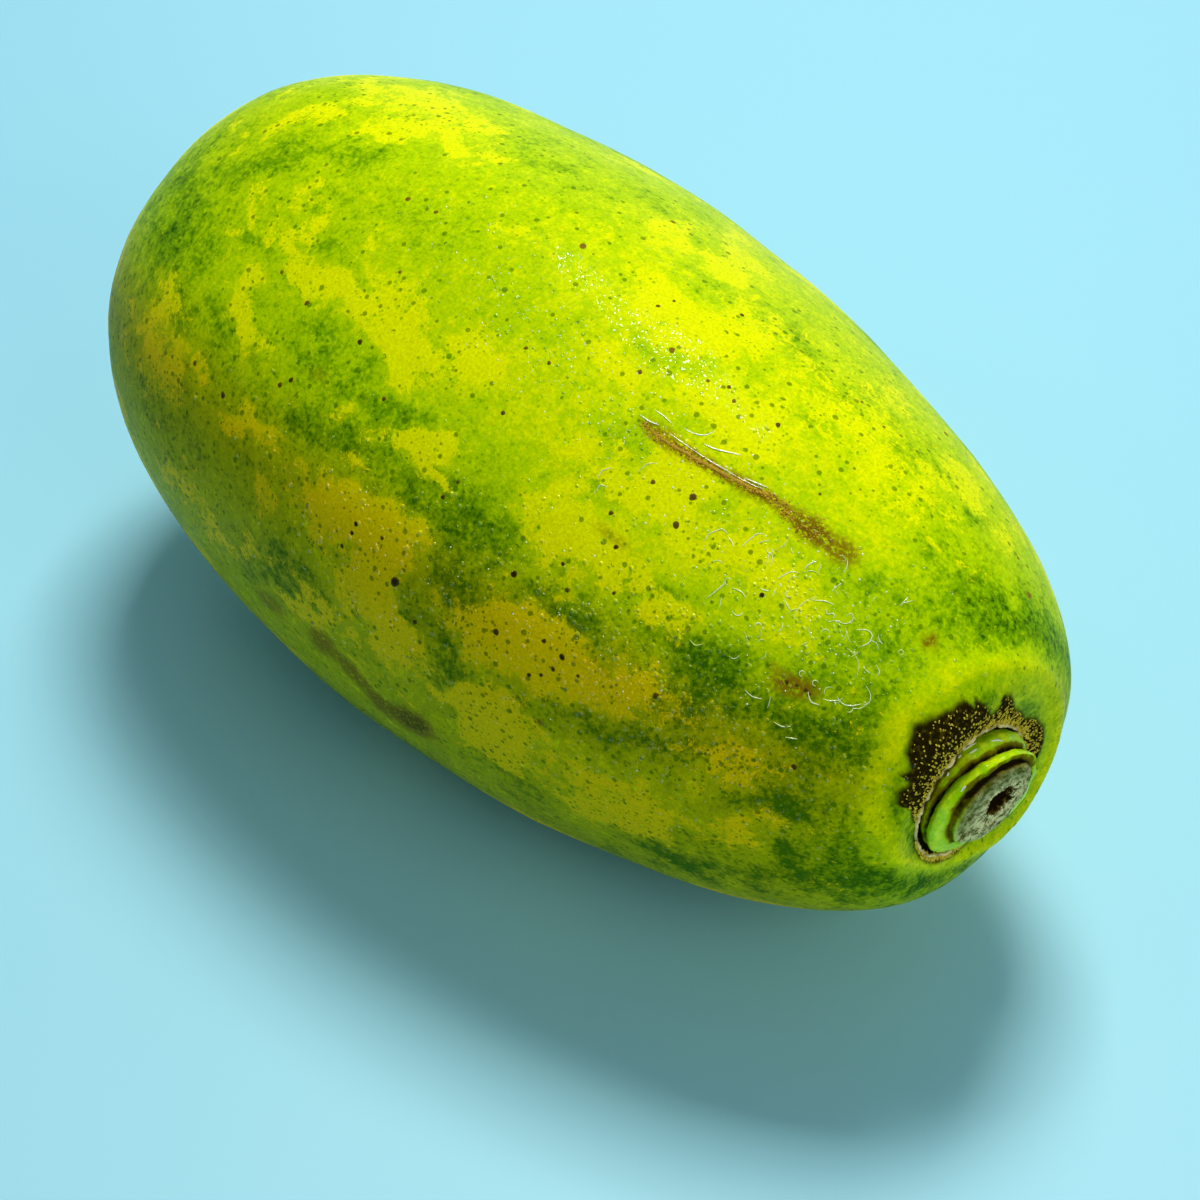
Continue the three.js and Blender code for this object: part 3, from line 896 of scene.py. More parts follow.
# The stem from its root to the cut: radius, height over the seat, how far the ring follows
# the wave between the collars and how far it swells upwards, in millimetres, then how brown
# the ring is and how much of it is the dry cut. The brown is staining, and in the grooves
# between the collars and under the cut it goes near black as painted shade.
STEM_PROFILE = (
    (6.3, -11.7, 0.0, 0.0, 1.0, 0.0), (6.9, -11.1, 0.0, 0.0, 1.0, 0.0),
    (6.9, 0.3, 0.0, 0.0, 1.0, 0.0), (9.4, 0.3, 0.0, 0.0, 1.0, 0.0),
    (10.0, 0.6, 0.0, 0.2, 0.55, 0.0), (10.2, 1.2, 0.2, 0.3, 0.1, 0.0),
    (10.3, 1.9, 0.5, 0.5, 0.0, 0.0), (9.8, 2.4, 0.8, 0.5, 0.1, 0.0),
    (9.1, 2.75, 1.0, 0.2, 0.8, 0.0), (8.8, 2.9, 1.0, -0.1, 1.0, 0.0),
    (9.3, 3.15, 1.0, -0.4, 0.35, 0.0), (9.9, 3.6, 1.0, -0.5, 0.0, 0.0),
    (10.0, 4.2, 0.9, -0.5, 0.0, 0.0), (9.6, 4.7, 0.8, -0.4, 0.05, 0.0),
    (8.9, 4.95, 0.6, -0.3, 0.15, 0.0), (8.1, 4.9, 0.4, -0.1, 0.4, 0.0),
    (7.7, 4.85, 0.2, 0.0, 0.8, 0.0), (7.5, 5.3, 0.0, 0.0, 0.6, 0.0),
    (7.6, 5.8, 0.0, 0.0, 0.3, 0.2), (7.2, 6.2, 0.0, 0.0, 0.2, 0.95),
    (6.4, 6.35, 0.0, 0.0, 0.0, 1.0), (4.4, 6.4, 0.0, 0.0, 0.0, 1.0),
    (2.9, 6.2, 0.0, 0.0, 0.0, 1.0), (2.3, 5.6, 0.0, 0.0, 0.0, 1.0),
    (1.2, 5.2, 0.0, 0.0, 0.0, 1.0),
)

# Spacing of the stem's rings in millimetres, how many rings of its hidden root stand alone,
# and how far down the hidden wall from its top the even rings begin.
STEM_RING_STEP = 0.16
ROOT_RINGS = 2
HIDDEN_WALL = 1.0

# Turns round the stem, in degrees: where the lower collar is darker brown, where the slope
# under the cut is, and where the edge of the cut is greenest.
DARK_COLLAR_SIDE, DARK_SLOPE_SIDE, GREEN_EDGE = 175, 80, 110

# Heights over the seat in millimetres where the lower collar ends and where the slope begins,
# and radii where the pith gives way to the cut and where the cut's green edge sets in.
COLLAR_END, SLOPE_START = (2.2, 3.0), (4.4, 4.8)
PITH_FADE, EDGE_FADE = (1.5, 3.9), (2.8, 6.6)

# Relief of the stem in millimetres: size and height of the collars' dents, where they begin
# over the seat, and size and height of the torn fibres on the cut.
DENT_SIZE, DENT_HEIGHT, DENT_START = 2.5, 0.25, 0.8
FIBRE_SIZE, FIBRE_HEIGHT = 0.5, 0.14


def cut_stem():
    """Green stem rind with brown staining and painted shade in its grooves under a wet gloss, and a
    dry fibrous cut, matt.
    """
    material, tree = material_tree("green_stem_and_dry_cut")
    where = add(tree, "ShaderNodeTexCoord").outputs["Object"]
    cut, brown, pith, edge, left, turn, reach = attributes(
        tree, "cut", "brown", "pith", "edge", "left", "turn", "reach")
    blotch = swing(tree, where, 1.8, 1.5, 4.0)
    # Brown staining; where the grooves push it near black it is painted shade.
    stain_and_groove_shade = mathed(tree, "MULTIPLY_ADD", left, 0.45, mathed(tree, "MULTIPLY_ADD", blotch, 0.7, brown))
    fresh = mixed(tree, stepped(tree, blotch, -0.25, 0.3), linear("#a4de00"), linear("#e2ff08"))
    rind = mixed(tree, stepped(tree, stain_and_groove_shade, 0.2, 0.6), fresh, linear("#7c7406"))
    rind = mixed(tree, stepped(tree, stain_and_groove_shade, 0.6, 1.0), rind, linear("#261c03"))

    # Fibres of 0.3 mm run out from the pith; the edge of the cut is still green.
    radial = add(tree, "ShaderNodeCombineXYZ", {0: mathed(tree, "MULTIPLY", turn, 26.0), 1: reach})
    streak = add(tree, "ShaderNodeTexNoise", {
        "Vector": radial.outputs[0], "Scale": 1.0, "Detail": 3.0}).outputs[0]
    grit = grain(tree, where, 0.35, 4.0, 0.7)
    fibre = stepped(tree, mathed(tree, "ADD", streak, grit), 0.8, 1.14)
    dry = mixed(tree, fibre, linear("#544e0a"), linear("#f0e8a6"))
    green_rim = mathed(tree, "MULTIPLY", edge, stepped(tree, grit, 0.2, 0.7))
    dry = mixed(tree, green_rim, dry, linear("#3f5a08"))
    torn = mathed(tree, "ADD", pith, swing(tree, where, 1.1, 1.6, 4.0, 0.7))
    dry = mixed(tree, stepped(tree, torn, 0.3, 0.5), dry, linear("#5a4a12"))
    dry = mixed(tree, stepped(tree, torn, 0.45, 0.75), dry, linear("#1c0f03"))
    base = mixed(tree, cut, rind, dry)
    bump = add(tree, "ShaderNodeBump", {
        "Height": mathed(tree, "ADD", grit, streak), "Strength": 0.5, "Distance": 0.3 * MM})
    matt = mathed(tree, "MAXIMUM", cut, mathed(tree, "MAXIMUM", brown, left))
    rough = stepped(tree, matt, 0.0, 1.0, 0.3, 0.85)
    finish_tree(tree, {
        "Base Color": base, "Roughness": rough, "Normal": bump.outputs[0], "IOR": 1.45,
        "Specular Tint": linear("#f8ff80"), "Specular IOR Level": 0.02,
        "Coat Weight": stepped(tree, matt, 0.0, 0.5, 0.5, 0.0), "Coat Roughness": 0.1})
    return material


def round_side(turn, degrees):
    """1 on the side of the stem that faces a turn, fading to 0 a quarter turn away."""
    return smooth(0.0, 0.9, np.cos(turn - math.radians(degrees)))


class PAPAYA_OT_stem(bpy.types.Operator):
    """Builds the cut stub of the stem with its two collars"""

    bl_idname = "papaya.stem"
    bl_label = "Build the stem"

    def execute(self, context):
        settings = context.scene.papaya
        layout = Layout(settings)
        stem = settings.stem
        table = np.array(STEM_PROFILE)
        steps = np.concatenate([[0], np.cumsum(np.hypot(*np.diff(table[:, :2], axis=0).T))])
        even = np.arange(steps[ROOT_RINGS] - HIDDEN_WALL, steps[-1], STEM_RING_STEP)
        fine = np.concatenate([steps[:ROOT_RINGS], even, [steps[-1]]])
        rings, turns = self.rings(stem, [np.interp(fine, steps, column) for column in table[:, :4].T])
        flat, normals = rings.reshape(-1, 3), ring_normals(rings).reshape(-1, 3)
        out, above, brown, cut = (
            np.repeat(np.interp(fine, steps, table[:, k]), stem.around) for k in (0, 1, 4, 5))
        turn = np.tile(turns, len(rings))

        # Soft dents on the collars, and torn fibres on the cut.
        lift = fractal(flat, DENT_SIZE, 3, 7.0) * DENT_HEIGHT * (above > DENT_START)
        lift += fractal(flat, FIBRE_SIZE, 2, 8.0) * FIBRE_HEIGHT * cut
        laid = layout.laid(flat + normals * lift[:, None])
        bottom = [stem.seat + STEM_PROFILE[0][1], stem.side, stem.rise]
        top = [stem.seat + STEM_PROFILE[-1][1], stem.side + stem.pith_side, stem.rise + stem.bend_rise]
        poles = layout.laid(np.array([bottom, top]))
        piece = new_object(
            "stem_stub", np.concatenate([poles[:1], laid, poles[1:]]),
            closed_faces(len(rings), stem.around), cut_stem())

        left = round_side(turn, DARK_COLLAR_SIDE) * (1 - smooth(*COLLAR_END, above))
        left += round_side(turn, DARK_SLOPE_SIDE) * smooth(*SLOPE_START, above)
        greenest = smooth(-0.4, 0.7, np.cos(turn - math.radians(GREEN_EDGE)))
        layers = {
            "cut": cut, "brown": brown, "left": left, "reach": out, "turn": turn / FULL_TURN,
            "pith": (1 - smooth(*PITH_FADE, out)) * (above > 0),
            "edge": smooth(*EDGE_FADE, out) * (0.25 + 0.75 * greenest)}
        paint(piece, **{layer: with_poles(values) for layer, values in layers.items()})
        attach(piece, "root")
        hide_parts("stem")
        return {"FINISHED"}

    def rings(self, stem, columns):
        """Rings of points in the fruit's own axes, and the angles round them."""
        ring_radius, height, wavy, swell = (column[:, None] for column in columns)
        turns = np.linspace(0, FULL_TURN, stem.around, endpoint=False)
        radius = ring_radius + swell * np.cos(turns - stem.swell_towards)
        wave = stem.collar_wave * wavy * np.tanh(2 * np.cos(turns - stem.wave_towards))
        side, rise = radius * np.cos(turns), radius * np.sin(turns)
        lean = np.clip((height - stem.lean_start) / (stem.cut_height - stem.lean_start), 0, None)
        inward = 1 - smooth(stem.pith_radius, stem.socket_radius - stem.clearance, ring_radius)
        inward = inward * (height > stem.lean_start)
        along = stem.seat + height + wave + lean * (stem.lean_side * side + stem.lean_rise * rise)
        out_y = stem.side + side + stem.pith_side * inward
        return np.stack([along, out_y, stem.rise + rise + stem.bend_rise * lean], axis=-1), turns


# Small things on the skin

# How far a cap's rim is sunk in, and how deep its closed foot reaches, in millimetres.
SUNK_RIM = 0.06
SUNK_FOOT = 0.12

# Most that a cap's outline may wander, and points around and rings of a grain's cap.
CAP_WOBBLE = 0.14
GRAIN_DOME = (7, (1.0, 0.6))


class Surface:
    """Finished pieces, for placing small things on them, in millimetres."""

    def __init__(self, layout, names=("papaya_skin",)):
        self.layout = layout
        points, faces = [], []
        for name in names:
            mesh = bpy.data.objects[name].data
            start = len(points)
            points += [vertex.co / MM for vertex in mesh.vertices]
            faces += [[start + i for i in face.vertices] for face in mesh.polygons]
        self.tree = BVHTree.FromPolygons(points, faces)

    def seen_at(self, u, v):
        """Point and normal that a pixel shows."""
        hit = self.tree.ray_cast(Vector(self.layout.camera), self.layout.ray(u, v))
        if hit[0] is None:
            raise RuntimeError(f"pixel {u}, {v} misses the skin")
        return hit[0], hit[1]

    def outside(self, polar, around):
        """Point and normal of the skin at a polar angle and an angle round its axis."""
        layout = self.layout
        plain = layout.laid(skin_points(layout.shape, layout.stem, np.array(polar), np.array(around)))
        hit = self.tree.find_nearest(Vector(plain))
        return hit[0], hit[1]


def across(normal, lean=None):
    """Two directions square to a normal, the first towards lean where it is given."""
    first = lean - normal * lean.dot(normal) if lean is not None else normal.orthogonal()
    first.normalize()
    return first, normal.cross(first)


def dome(
        centre, normal, radius, height, draw, sides=10, rings=(1.0, 0.72, 0.36), lean=None,
        stretch=1.0):
    """Points, faces and share of the radius of a low round cap whose rim is sunk in."""
    first, second = across(normal, lean)
    wobble = draw.uniform(-CAP_WOBBLE, CAP_WOBBLE, 2)
    points, share = [], []
    for ring in rings:
        for i in range(sides):
            turn = FULL_TURN * i / sides
            uneven = 1 + wobble[0] * math.cos(2 * turn) + wobble[1] * math.sin(3 * turn)
            size = radius * ring * uneven
            flat = first * math.cos(turn) * size * stretch + second * math.sin(turn) * size
            points.append(centre + flat + normal * (height * (1 - ring * ring) - SUNK_RIM))
            share.append(ring)
    points += [centre + normal * (height - SUNK_RIM), centre - normal * SUNK_FOOT]
    share += [0.0, 1.0]
    top, foot = len(points) - 2, len(points) - 1
    faces = ring_faces(len(rings), sides)
    last = (len(rings) - 1) * sides
    for i in range(sides):
        j = (i + 1) % sides
        faces += [(last + i, last + j, top), (j, i, foot)]
    return points, faces, share


class Cluster:
    """Many small closed bodies gathered in one mesh."""

    def __init__(self):
        self.points, self.faces, self.share, self.tone = [], [], [], []

    def add(self, body, tone):
        """Takes in one body of points, faces and shares, and gives it a tone."""
        points, faces, share = body
        start = len(self.points)
        self.points += [tuple(point) for point in points]
        self.faces += [tuple(start + i for i in face) for face in faces]
        self.share += share
        self.tone += [tone] * len(points)

    def build(self, name, material):
        """Makes the piece, fixed to the fruit."""
        piece = new_object(name, self.points, self.faces, material)
        paint(piece, share=self.share, tone=self.tone)
        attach(piece, "root")
        return piece


def corky_speck():
    """Dry corky specks: near black in the middle and brown at the rim, matt."""
    material, tree = material_tree("corky_speck")
    share, tone = attributes(tree, "share", "tone")
    rim = mixed(tree, tone, linear("#a8a40a"), linear("#6c6800"))
    middle = mixed(tree, stepped(tree, tone, 0.4, 1.1), linear("#866a10"), linear("#241a02"))
    base = mixed(tree, stepped(tree, share, 0.35, 1.0), middle, rim)
    finish_tree(tree, {"Base Color": base, "Roughness": 0.6, "Specular IOR Level": 0.06})
    return material


# Specks on the far side: how many points they and the others take up together, between which
# polar angles they lie, the most that they face the camera, and the least height in
# millimetres over the table.
ALL_SPECKS_POINTS = 4200
FAR_POLAR = (0.3, 2.8)
FAR_FACING = 0.05
OVER_TABLE = 2.0


class PAPAYA_OT_specks(bpy.types.Operator):
    """Builds the small corky specks scattered over the skin"""

    bl_idname = "papaya.specks"
    bl_label = "Build the specks"

    def execute(self, context):
        layout = Layout(context.scene.papaya)
        surface = Surface(layout)
        draw = np.random.default_rng(SEED)
        cluster = Cluster()
        for u, v, radius, tone in SPECKS:
            point, normal = surface.seen_at(u, v)
            cluster.add(dome(point, normal, radius, 0.12 + 0.06 * radius, draw), tone)
        while len(cluster.points) < ALL_SPECKS_POINTS:
            point, normal = surface.outside(draw.uniform(*FAR_POLAR), draw.uniform(0, FULL_TURN))
            if normal.dot(Vector(layout.back)) < FAR_FACING and point.z > OVER_TABLE:
                body = dome(point, normal, draw.uniform(0.3, 0.75), 0.2, draw)
                cluster.add(body, draw.uniform(0.5, 1))
        cluster.build("skin_specks", corky_speck())
        return {"FINISHED"}


def dry_cork(name, dark, light):
    """Dry cork, matt, from its shaded to its raised grains."""
    material, tree = material_tree(name)
    where = add(tree, "ShaderNodeTexCoord").outputs["Object"]
    (tone,) = attributes(tree, "tone")
    mottled = mathed(tree, "ADD", tone, swing(tree, where, 0.3, 0.8, 2.0), clamp=True)
    base = mixed(tree, mottled, linear(dark), linear(light))
    finish_tree(tree, {"Base Color": base, "Roughness": 0.62, "Specular IOR Level": 0.15})
    return material


# Grains of the star: how many are tried, and in millimetres the radius where they begin, how
# far inside the star's edge they end, and the least radius of that end where there are any.
GRAIN_TRIES = 2000
GRAIN_START = 11.3
GRAIN_MARGIN = 0.5
GRAIN_LEAST = 11.6

# The torn rim in millimetres: its radius and how far it wanders, points along and around it,
# how thick it is, the least and the added height of its lip, and what is added to the noise.
RIM_RADIUS, RIM_WANDER = 11.35, 0.35
RIM_POINTS, RIM_SIDES = 260, 6
RIM_THICKNESS = 0.22
LIP_HEIGHT, LIP_RISE, LIP_MORE = 0.24, 0.4, 0.25


class PAPAYA_OT_scar(bpy.types.Operator):
    """Builds the tan grains and the torn rim of the corky star round the stem"""

    bl_idname = "papaya.scar"
    bl_label = "Build the star's grains and rim"

    def execute(self, context):
        layout = Layout(context.scene.papaya)
        surface = Surface(layout)
        self.grains(layout, surface)
        self.rim(layout, surface)
        return {"FINISHED"}

    def on_shoulder(self, layout, surface, radius, turn):
        """Point and normal of the shoulder at a radius and a turn round the stem."""
        stem = layout.stem
        over = np.array([
            stem.seat + stem.socket_depth, stem.side + radius * math.cos(turn),
            stem.rise + radius * math.sin(turn)])
        down = Vector(layout.turn @ np.array([-1.0, 0, 0]))
        hit = surface.tree.ray_cast(Vector(layout.laid(over)), down)
        return hit[0], hit[1]

    def grains(self, layout, surface):
        """Tan grains, longer and closer towards the stem, each pointing at it."""
        draw = np.random.default_rng(SEED + 2)
        edge = SkinFields(layout).star
        cluster = Cluster()
        for _ in range(GRAIN_TRIES):
            turn = draw.uniform(0, FULL_TURN)
            limit = float(round_table(*edge, np.array([turn]))[0]) - GRAIN_MARGIN
            inner = draw.uniform(0, 1) ** 1.25
            if limit < GRAIN_LEAST:
                continue
            radius = GRAIN_START + (limit - GRAIN_START) * inner
            point, normal = self.on_shoulder(layout, surface, radius, turn)
            if point is None:
                continue
            size = 0.11 + 0.07 * (1 - inner) + draw.uniform(0, 0.08)
            stretch = 1.0 + (1.8 - 1.3 * inner) * draw.uniform(0, 1)
            lean = self.stem_foot(layout) - point
            body = dome(point, normal, size, 0.14 + 0.3 * size, draw, *GRAIN_DOME, lean, stretch)
            cluster.add(body, draw.uniform(0.3, 1.0))
        cluster.build("star_grains", dry_cork("tan_cork_grain", "#6a560c", "#f2d83c"))

    def rim(self, layout, surface):
        """A torn, curled lip where the skin ends at the groove."""
        turns = np.linspace(0, FULL_TURN, RIM_POINTS, endpoint=False)
        circle = np.stack([np.cos(turns), np.sin(turns), np.zeros(RIM_POINTS)], axis=-1)
        circle *= layout.stem.groove_radius
        ragged, high = fractal(circle, 2.4, 4, 3.0), fractal(circle, 1.5, 4, 8.0)
        points = []
        for turn, rag, up in zip(turns, ragged, high):
            radius = RIM_RADIUS + RIM_WANDER * rag
            point, normal = self.on_shoulder(layout, surface, radius, turn)
            inward, _ = across(normal, self.stem_foot(layout) - point)
            lip = LIP_HEIGHT + LIP_RISE * max(up + LIP_MORE, 0)
            for step in range(RIM_SIDES):
                a = FULL_TURN * step / RIM_SIDES
                sideways = inward * RIM_THICKNESS * math.cos(a)
                points.append(point + sideways + normal * lip * math.sin(a))
        faces = [
            tuple(i % len(points) for i in face) for face in ring_faces(RIM_POINTS + 1, RIM_SIDES)]
        piece = new_object("torn_rim", points, faces, dry_cork("pale_torn_rim", "#7a6218", "#fbe8a4"))
        paint(piece, tone=np.repeat(np.clip(0.55 + 1.2 * high, 0, 1), RIM_SIDES))
        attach(piece, "root")

    def stem_foot(self, layout):
        """The laid middle of the seat that the stem stands on."""
        stem = layout.stem
        return Vector(layout.laid(np.array([stem.seat, stem.side, stem.rise])))


# The scratch and the water

# Curled edges of dried water film, whose pale colour paints part of their glint, read off as
# pixel columns and rows.
THREADS = (
    ((705, 541), (709, 533), (716, 531), (722, 528), (728, 534)),
    ((741, 547), (749, 540), (757, 533), (764, 534)), ((767, 565), (769, 552), (773, 556), (771, 566)),
    ((779, 549), (784, 545), (788, 540)), ((777, 579), (784, 575), (792, 571), (798, 573)),
    ((788, 582), (792, 576), (799, 578)), ((707, 598), (715, 592), (722, 586), (726, 582)),
    ((732, 588), (741, 591), (746, 598)), ((794, 617), (798, 608), (806, 600), (817, 597)),
    ((811, 600), (826, 601), (834, 605)), ((802, 573), (812, 570), (820, 575)),
    ((831, 592), (838, 585), (845, 582)),
    ((828, 622), (836, 620), (845, 625), (854, 620), (852, 612), (846, 616)),
    ((856, 630), (866, 629), (873, 634), (870, 643), (860, 647)),
    ((846, 648), (853, 652), (860, 664), (856, 678)), ((868, 640), (876, 642), (879, 650)),
    ((864, 668), (870, 674)), ((808, 692), (810, 702), (819, 705)),
    ((823, 699), (830, 701), (841, 700)), ((837, 697), (843, 705), (853, 706), (861, 704)),
    ((866, 686), (871, 694), (870, 703), (863, 705)), ((851, 708), (860, 709), (868, 704)),
    ((774, 722), (782, 727), (791, 726)), ((785, 737), (797, 739)),
    ((745, 690), (752, 697), (762, 699)), ((712, 562), (718, 560), (723, 563)),
    ((690, 640), (695, 646), (703, 644)), ((876, 665), (880, 672), (877, 677)),
    ((640, 470), (646, 464), (655, 463)), ((598, 478), (602, 470), (611, 468)),
    ((596, 492), (600, 484), (607, 487)),
)

# More such edges are drawn by chance. How many, and in pixels the middle column and row of
# their field, its spread across and down, and the length of one step.
CHANCE_THREADS = 46
CHANCE_FIELD = (800, 622, 48, 46)
CHANCE_STEP = 2.4

# Small pale domes that paint dry glints, in pixels: middle column and row, spread along and
# across, turn clockwise in degrees, and number. A spread is twice the usual distance from the middle.
GLINT_FIELDS = (
    (470, 240, 90, 50, 45, 36), (560, 345, 130, 70, 45, 130), (650, 430, 120, 50, 32, 70),
    (740, 530, 120, 70, 30, 70), (840, 640, 80, 70, 30, 70), (600, 620, 240, 120, 30, 60),
)

# Height of a glint in millimetres, and points around and rings of its cap and of a bead's.
GLINT_HEIGHT = 0.14
GLINT_DOME, BEAD_DOME = (6, (1.0, 0.6)), (8, (1.0, 0.6))

# The long scratch's corky ridge, and the pale streaks beside it that paint its wet highlight, as
# pixel columns and rows.
SCRATCH_RIDGE = (
    (643, 423), (655, 434), (668, 443), (681, 450), (694, 458), (708, 465), (722, 473), (738, 481),
    (753, 489), (764, 493), (773, 498), (783, 507), (794, 517), (806, 527), (818, 536),
)
SCRATCH_HIGHLIGHT_STREAKS = (
    ((669, 433), (680, 441), (690, 448), (701, 455)), ((697, 453), (710, 461), (722, 468), (733, 474)),
    ((728, 472), (741, 479), (752, 485), (763, 489)), ((684, 428), (694, 434), (705, 436), (715, 431)),
    ((704, 444), (714, 449), (727, 452), (741, 455)), ((640, 415), (650, 422), (659, 425)),
    ((655, 410), (665, 417), (672, 424)), ((745, 478), (756, 483), (768, 488)),
)

# How many points of that ridge its solid part takes, and that part's radius in millimetres,
# points around and flatness.
SOLID_RIDGE = 11
SOLID_FORM = (0.28, 8, 0.3)

# Its grains: how many, how wide they are strewn in pixels, what the far end adds to that, and
# between which points of the ridge.
SCRATCH_GRAINS = 560
RIDGE_WIDTH, END_WIDTH = 2.6, 5.0
WIDE_END = (9, 14)

# Pale lines that paint wet glints on the stem's collars, as pixel columns and rows.
COLLAR_GLINTS = (
    ((963, 751), (967, 748), (971, 745), (976, 743)), ((969, 754), (973, 751), (977, 749)),
    ((991, 741), (998, 740), (1003, 741)), ((958, 758), (961, 755)), ((947, 776), (949, 772)),
    ((961, 792), (963, 788), (966, 786)),
)

# Where beads of water lie, in pixels: middle column and row, spread along and across, turn
# clockwise in degrees, number, and smallest and largest radius in millimetres.
BEAD_FIELDS = (
    (560, 350, 170, 60, 45, 240, 0.15, 0.45), (640, 450, 240, 70, 42, 200, 0.14, 0.4),
    (790, 600, 110, 90, 30, 400, 0.13, 0.45), (590, 640, 260, 120, 32, 1600, 0.11, 0.5),
    (350, 540, 160, 100, 50, 700, 0.11, 0.55), (700, 740, 240, 90, 20, 900, 0.11, 0.45),
    (880, 640, 90, 60, 20, 150, 0.14, 0.45), (430, 220, 120, 60, 40, 60, 0.14, 0.35),
)

# How squarely a bead has to face the camera, and how far it keeps from the stem: its height
# along the fruit and its distance from the stem's axis, in millimetres.
BEAD_FACING = 0.2
DRY_HEIGHT = 80.0
DRY_RADIUS = 17.0


def bead_line(surface, line, radius, sides=5, flat=1.0):
    """A thin closed bead along a line of pixels, smoothed and laid on the skin."""
    knots = np.array(line, dtype=float)
    at = np.linspace(0, len(knots) - 1, 3 * len(knots))
    smoothed = np.stack([np.interp(at, range(len(knots)), knots[:, k]) for k in (0, 1)], axis=-1)
    for _ in range(2):
        smoothed[1:-1] = (smoothed[:-2] + 2 * smoothed[1:-1] + smoothed[2:]) / 4
    centres = [surface.seen_at(u, v) for u, v in smoothed]
    points = []
    for i, (centre, normal) in enumerate(centres):
        ahead = centres[min(i + 1, len(centres) - 1)][0] - centres[max(i - 1, 0)][0]
        _, side = across(normal, ahead)
        taper = radius * (0.35 + 0.65 * math.sin(math.pi * (i + 0.5) / len(centres)))
        for step in range(sides):
            a = FULL_TURN * step / sides
            up = (math.sin(a) + 0.3) * flat
            points.append(centre + (side * math.cos(a) + normal * up) * taper)
    faces = ring_faces(len(centres), sides)
    faces.append(tuple(reversed(range(sides))))
    faces.append(tuple(range(len(points) - sides, len(points))))
    return points, faces, [0.0] * len(points)


def spread(field, a, b):
    """Pixel that lies a and b spreads from the middle of a turned field."""
    u, v, spread_u, spread_v, degrees = field[:5]
    along, over = a * spread_u, b * spread_v
    c, s = math.cos(math.radians(degrees)), math.sin(math.radians(degrees))
    return u + along * c - over * s, v + along * s + over * c


class PAPAYA_OT_scratch(bpy.types.Operator):
    """Builds the corky ridge of the long scratch"""

    bl_idname = "papaya.scratch"
    bl_label = "Build the scratch"

    def execute(self, context):
        layout = Layout(context.scene.papaya)
        surface = Surface(layout)
        draw = np.random.default_rng(SEED + 5)
        cluster = Cluster()
        cluster.add(bead_line(surface, SCRATCH_RIDGE[:SOLID_RIDGE], *SOLID_FORM), 0.5)
        knots = range(len(SCRATCH_RIDGE))
        for _ in range(SCRATCH_GRAINS):
            along = draw.uniform(0, len(SCRATCH_RIDGE) - 1)
            u, v = (np.interp(along, knots, line) for line in zip(*SCRATCH_RIDGE))
            wide = RIDGE_WIDTH + END_WIDTH * smooth(*WIDE_END, along)
            at_u, at_v = u + draw.normal(0, wide), v + draw.normal(0, wide * 0.8)
            point, normal = surface.seen_at(at_u, at_v)
            size = draw.uniform(0.1, 0.26)
            body = dome(point, normal, size, 0.12 + 0.3 * size, draw, *GRAIN_DOME)
            cluster.add(body, draw.uniform(0, 0.9))
        cluster.build("scratch_ridge", dry_cork("brown_scratch_cork", "#7c5c06", "#dcb82c"))
        return {"FINISHED"}


def pale_edge_and_painted_glint():
    """Curled edge of dried water film, whitish to yellow under a hard gloss; the whitish end is a
    painted highlight for the glints and streaks made of it.
    """
    material, tree = material_tree("dried_water_edge_and_painted_glint")
    (tone,) = attributes(tree, "tone")
    finish_tree(tree, {
        "Base Color": mixed(tree, tone, linear("#c8e010"), linear("#fbffd8")), "Roughness": 0.12,
        "Coat Weight": 1.0, "Coat Roughness": 0.03})
    return material


class PAPAYA_OT_threads(bpy.types.Operator):
    """Builds the curled edges of dried water film on the skin, and pale domes and lines that paint
    glints on the skin, along the scratch and on the stem's collars
    """

    bl_idname = "papaya.threads"
    bl_label = "Build the water's edges"

    def execute(self, context):
        layout = Layout(context.scene.papaya)
        surface = Surface(layout, ("papaya_skin", "stem_stub"))
        draw = np.random.default_rng(SEED + 4)
        lines = [*THREADS, *(self.chance_line(draw) for _ in range(CHANCE_THREADS))]
        cluster = Cluster()
        for line in lines:
            cluster.add(bead_line(surface, line, draw.uniform(0.05, 0.1)), draw.uniform(0.2, 1))
        # Pale lines that paint the wet highlights of the scratch and of the stem's collars.
        for line in SCRATCH_HIGHLIGHT_STREAKS:
            cluster.add(bead_line(surface, line, draw.uniform(0.08, 0.15)), 1.0)
        for line in COLLAR_GLINTS:
            cluster.add(bead_line(surface, line, draw.uniform(0.12, 0.22), 6, 0.5), 1.0)
        # Small pale domes that paint the glints of the wet skin.
        for *field, glints in GLINT_FIELDS:
            for a, b in draw.normal(0, 0.5, (glints, 2)):
                point, normal = surface.seen_at(*spread(field, a, b))
                size = 0.1 + 0.12 * draw.uniform(0, 1) ** 2
                body = dome(point, normal, size, GLINT_HEIGHT, draw, *GLINT_DOME)
                cluster.add(body, draw.uniform(0.7, 1))
        cluster.build("water_threads", pale_edge_and_painted_glint())
        return {"FINISHED"}

    def chance_line(self, draw):
        """A short line of pixels that curls evenly to one side."""
        middle_u, middle_v, spread_u, spread_v = CHANCE_FIELD
        u, v = middle_u + draw.normal(0, spread_u), middle_v + draw.normal(0, spread_v)
        turn, bend = draw.uniform(0, FULL_TURN), draw.uniform(-0.9, 0.9)
        line = []
        for _ in range(draw.integers(4, 8)):
            line.append((u, v))
            u, v = u + CHANCE_STEP * math.cos(turn), v + CHANCE_STEP * math.sin(turn)
            turn += bend
        return line


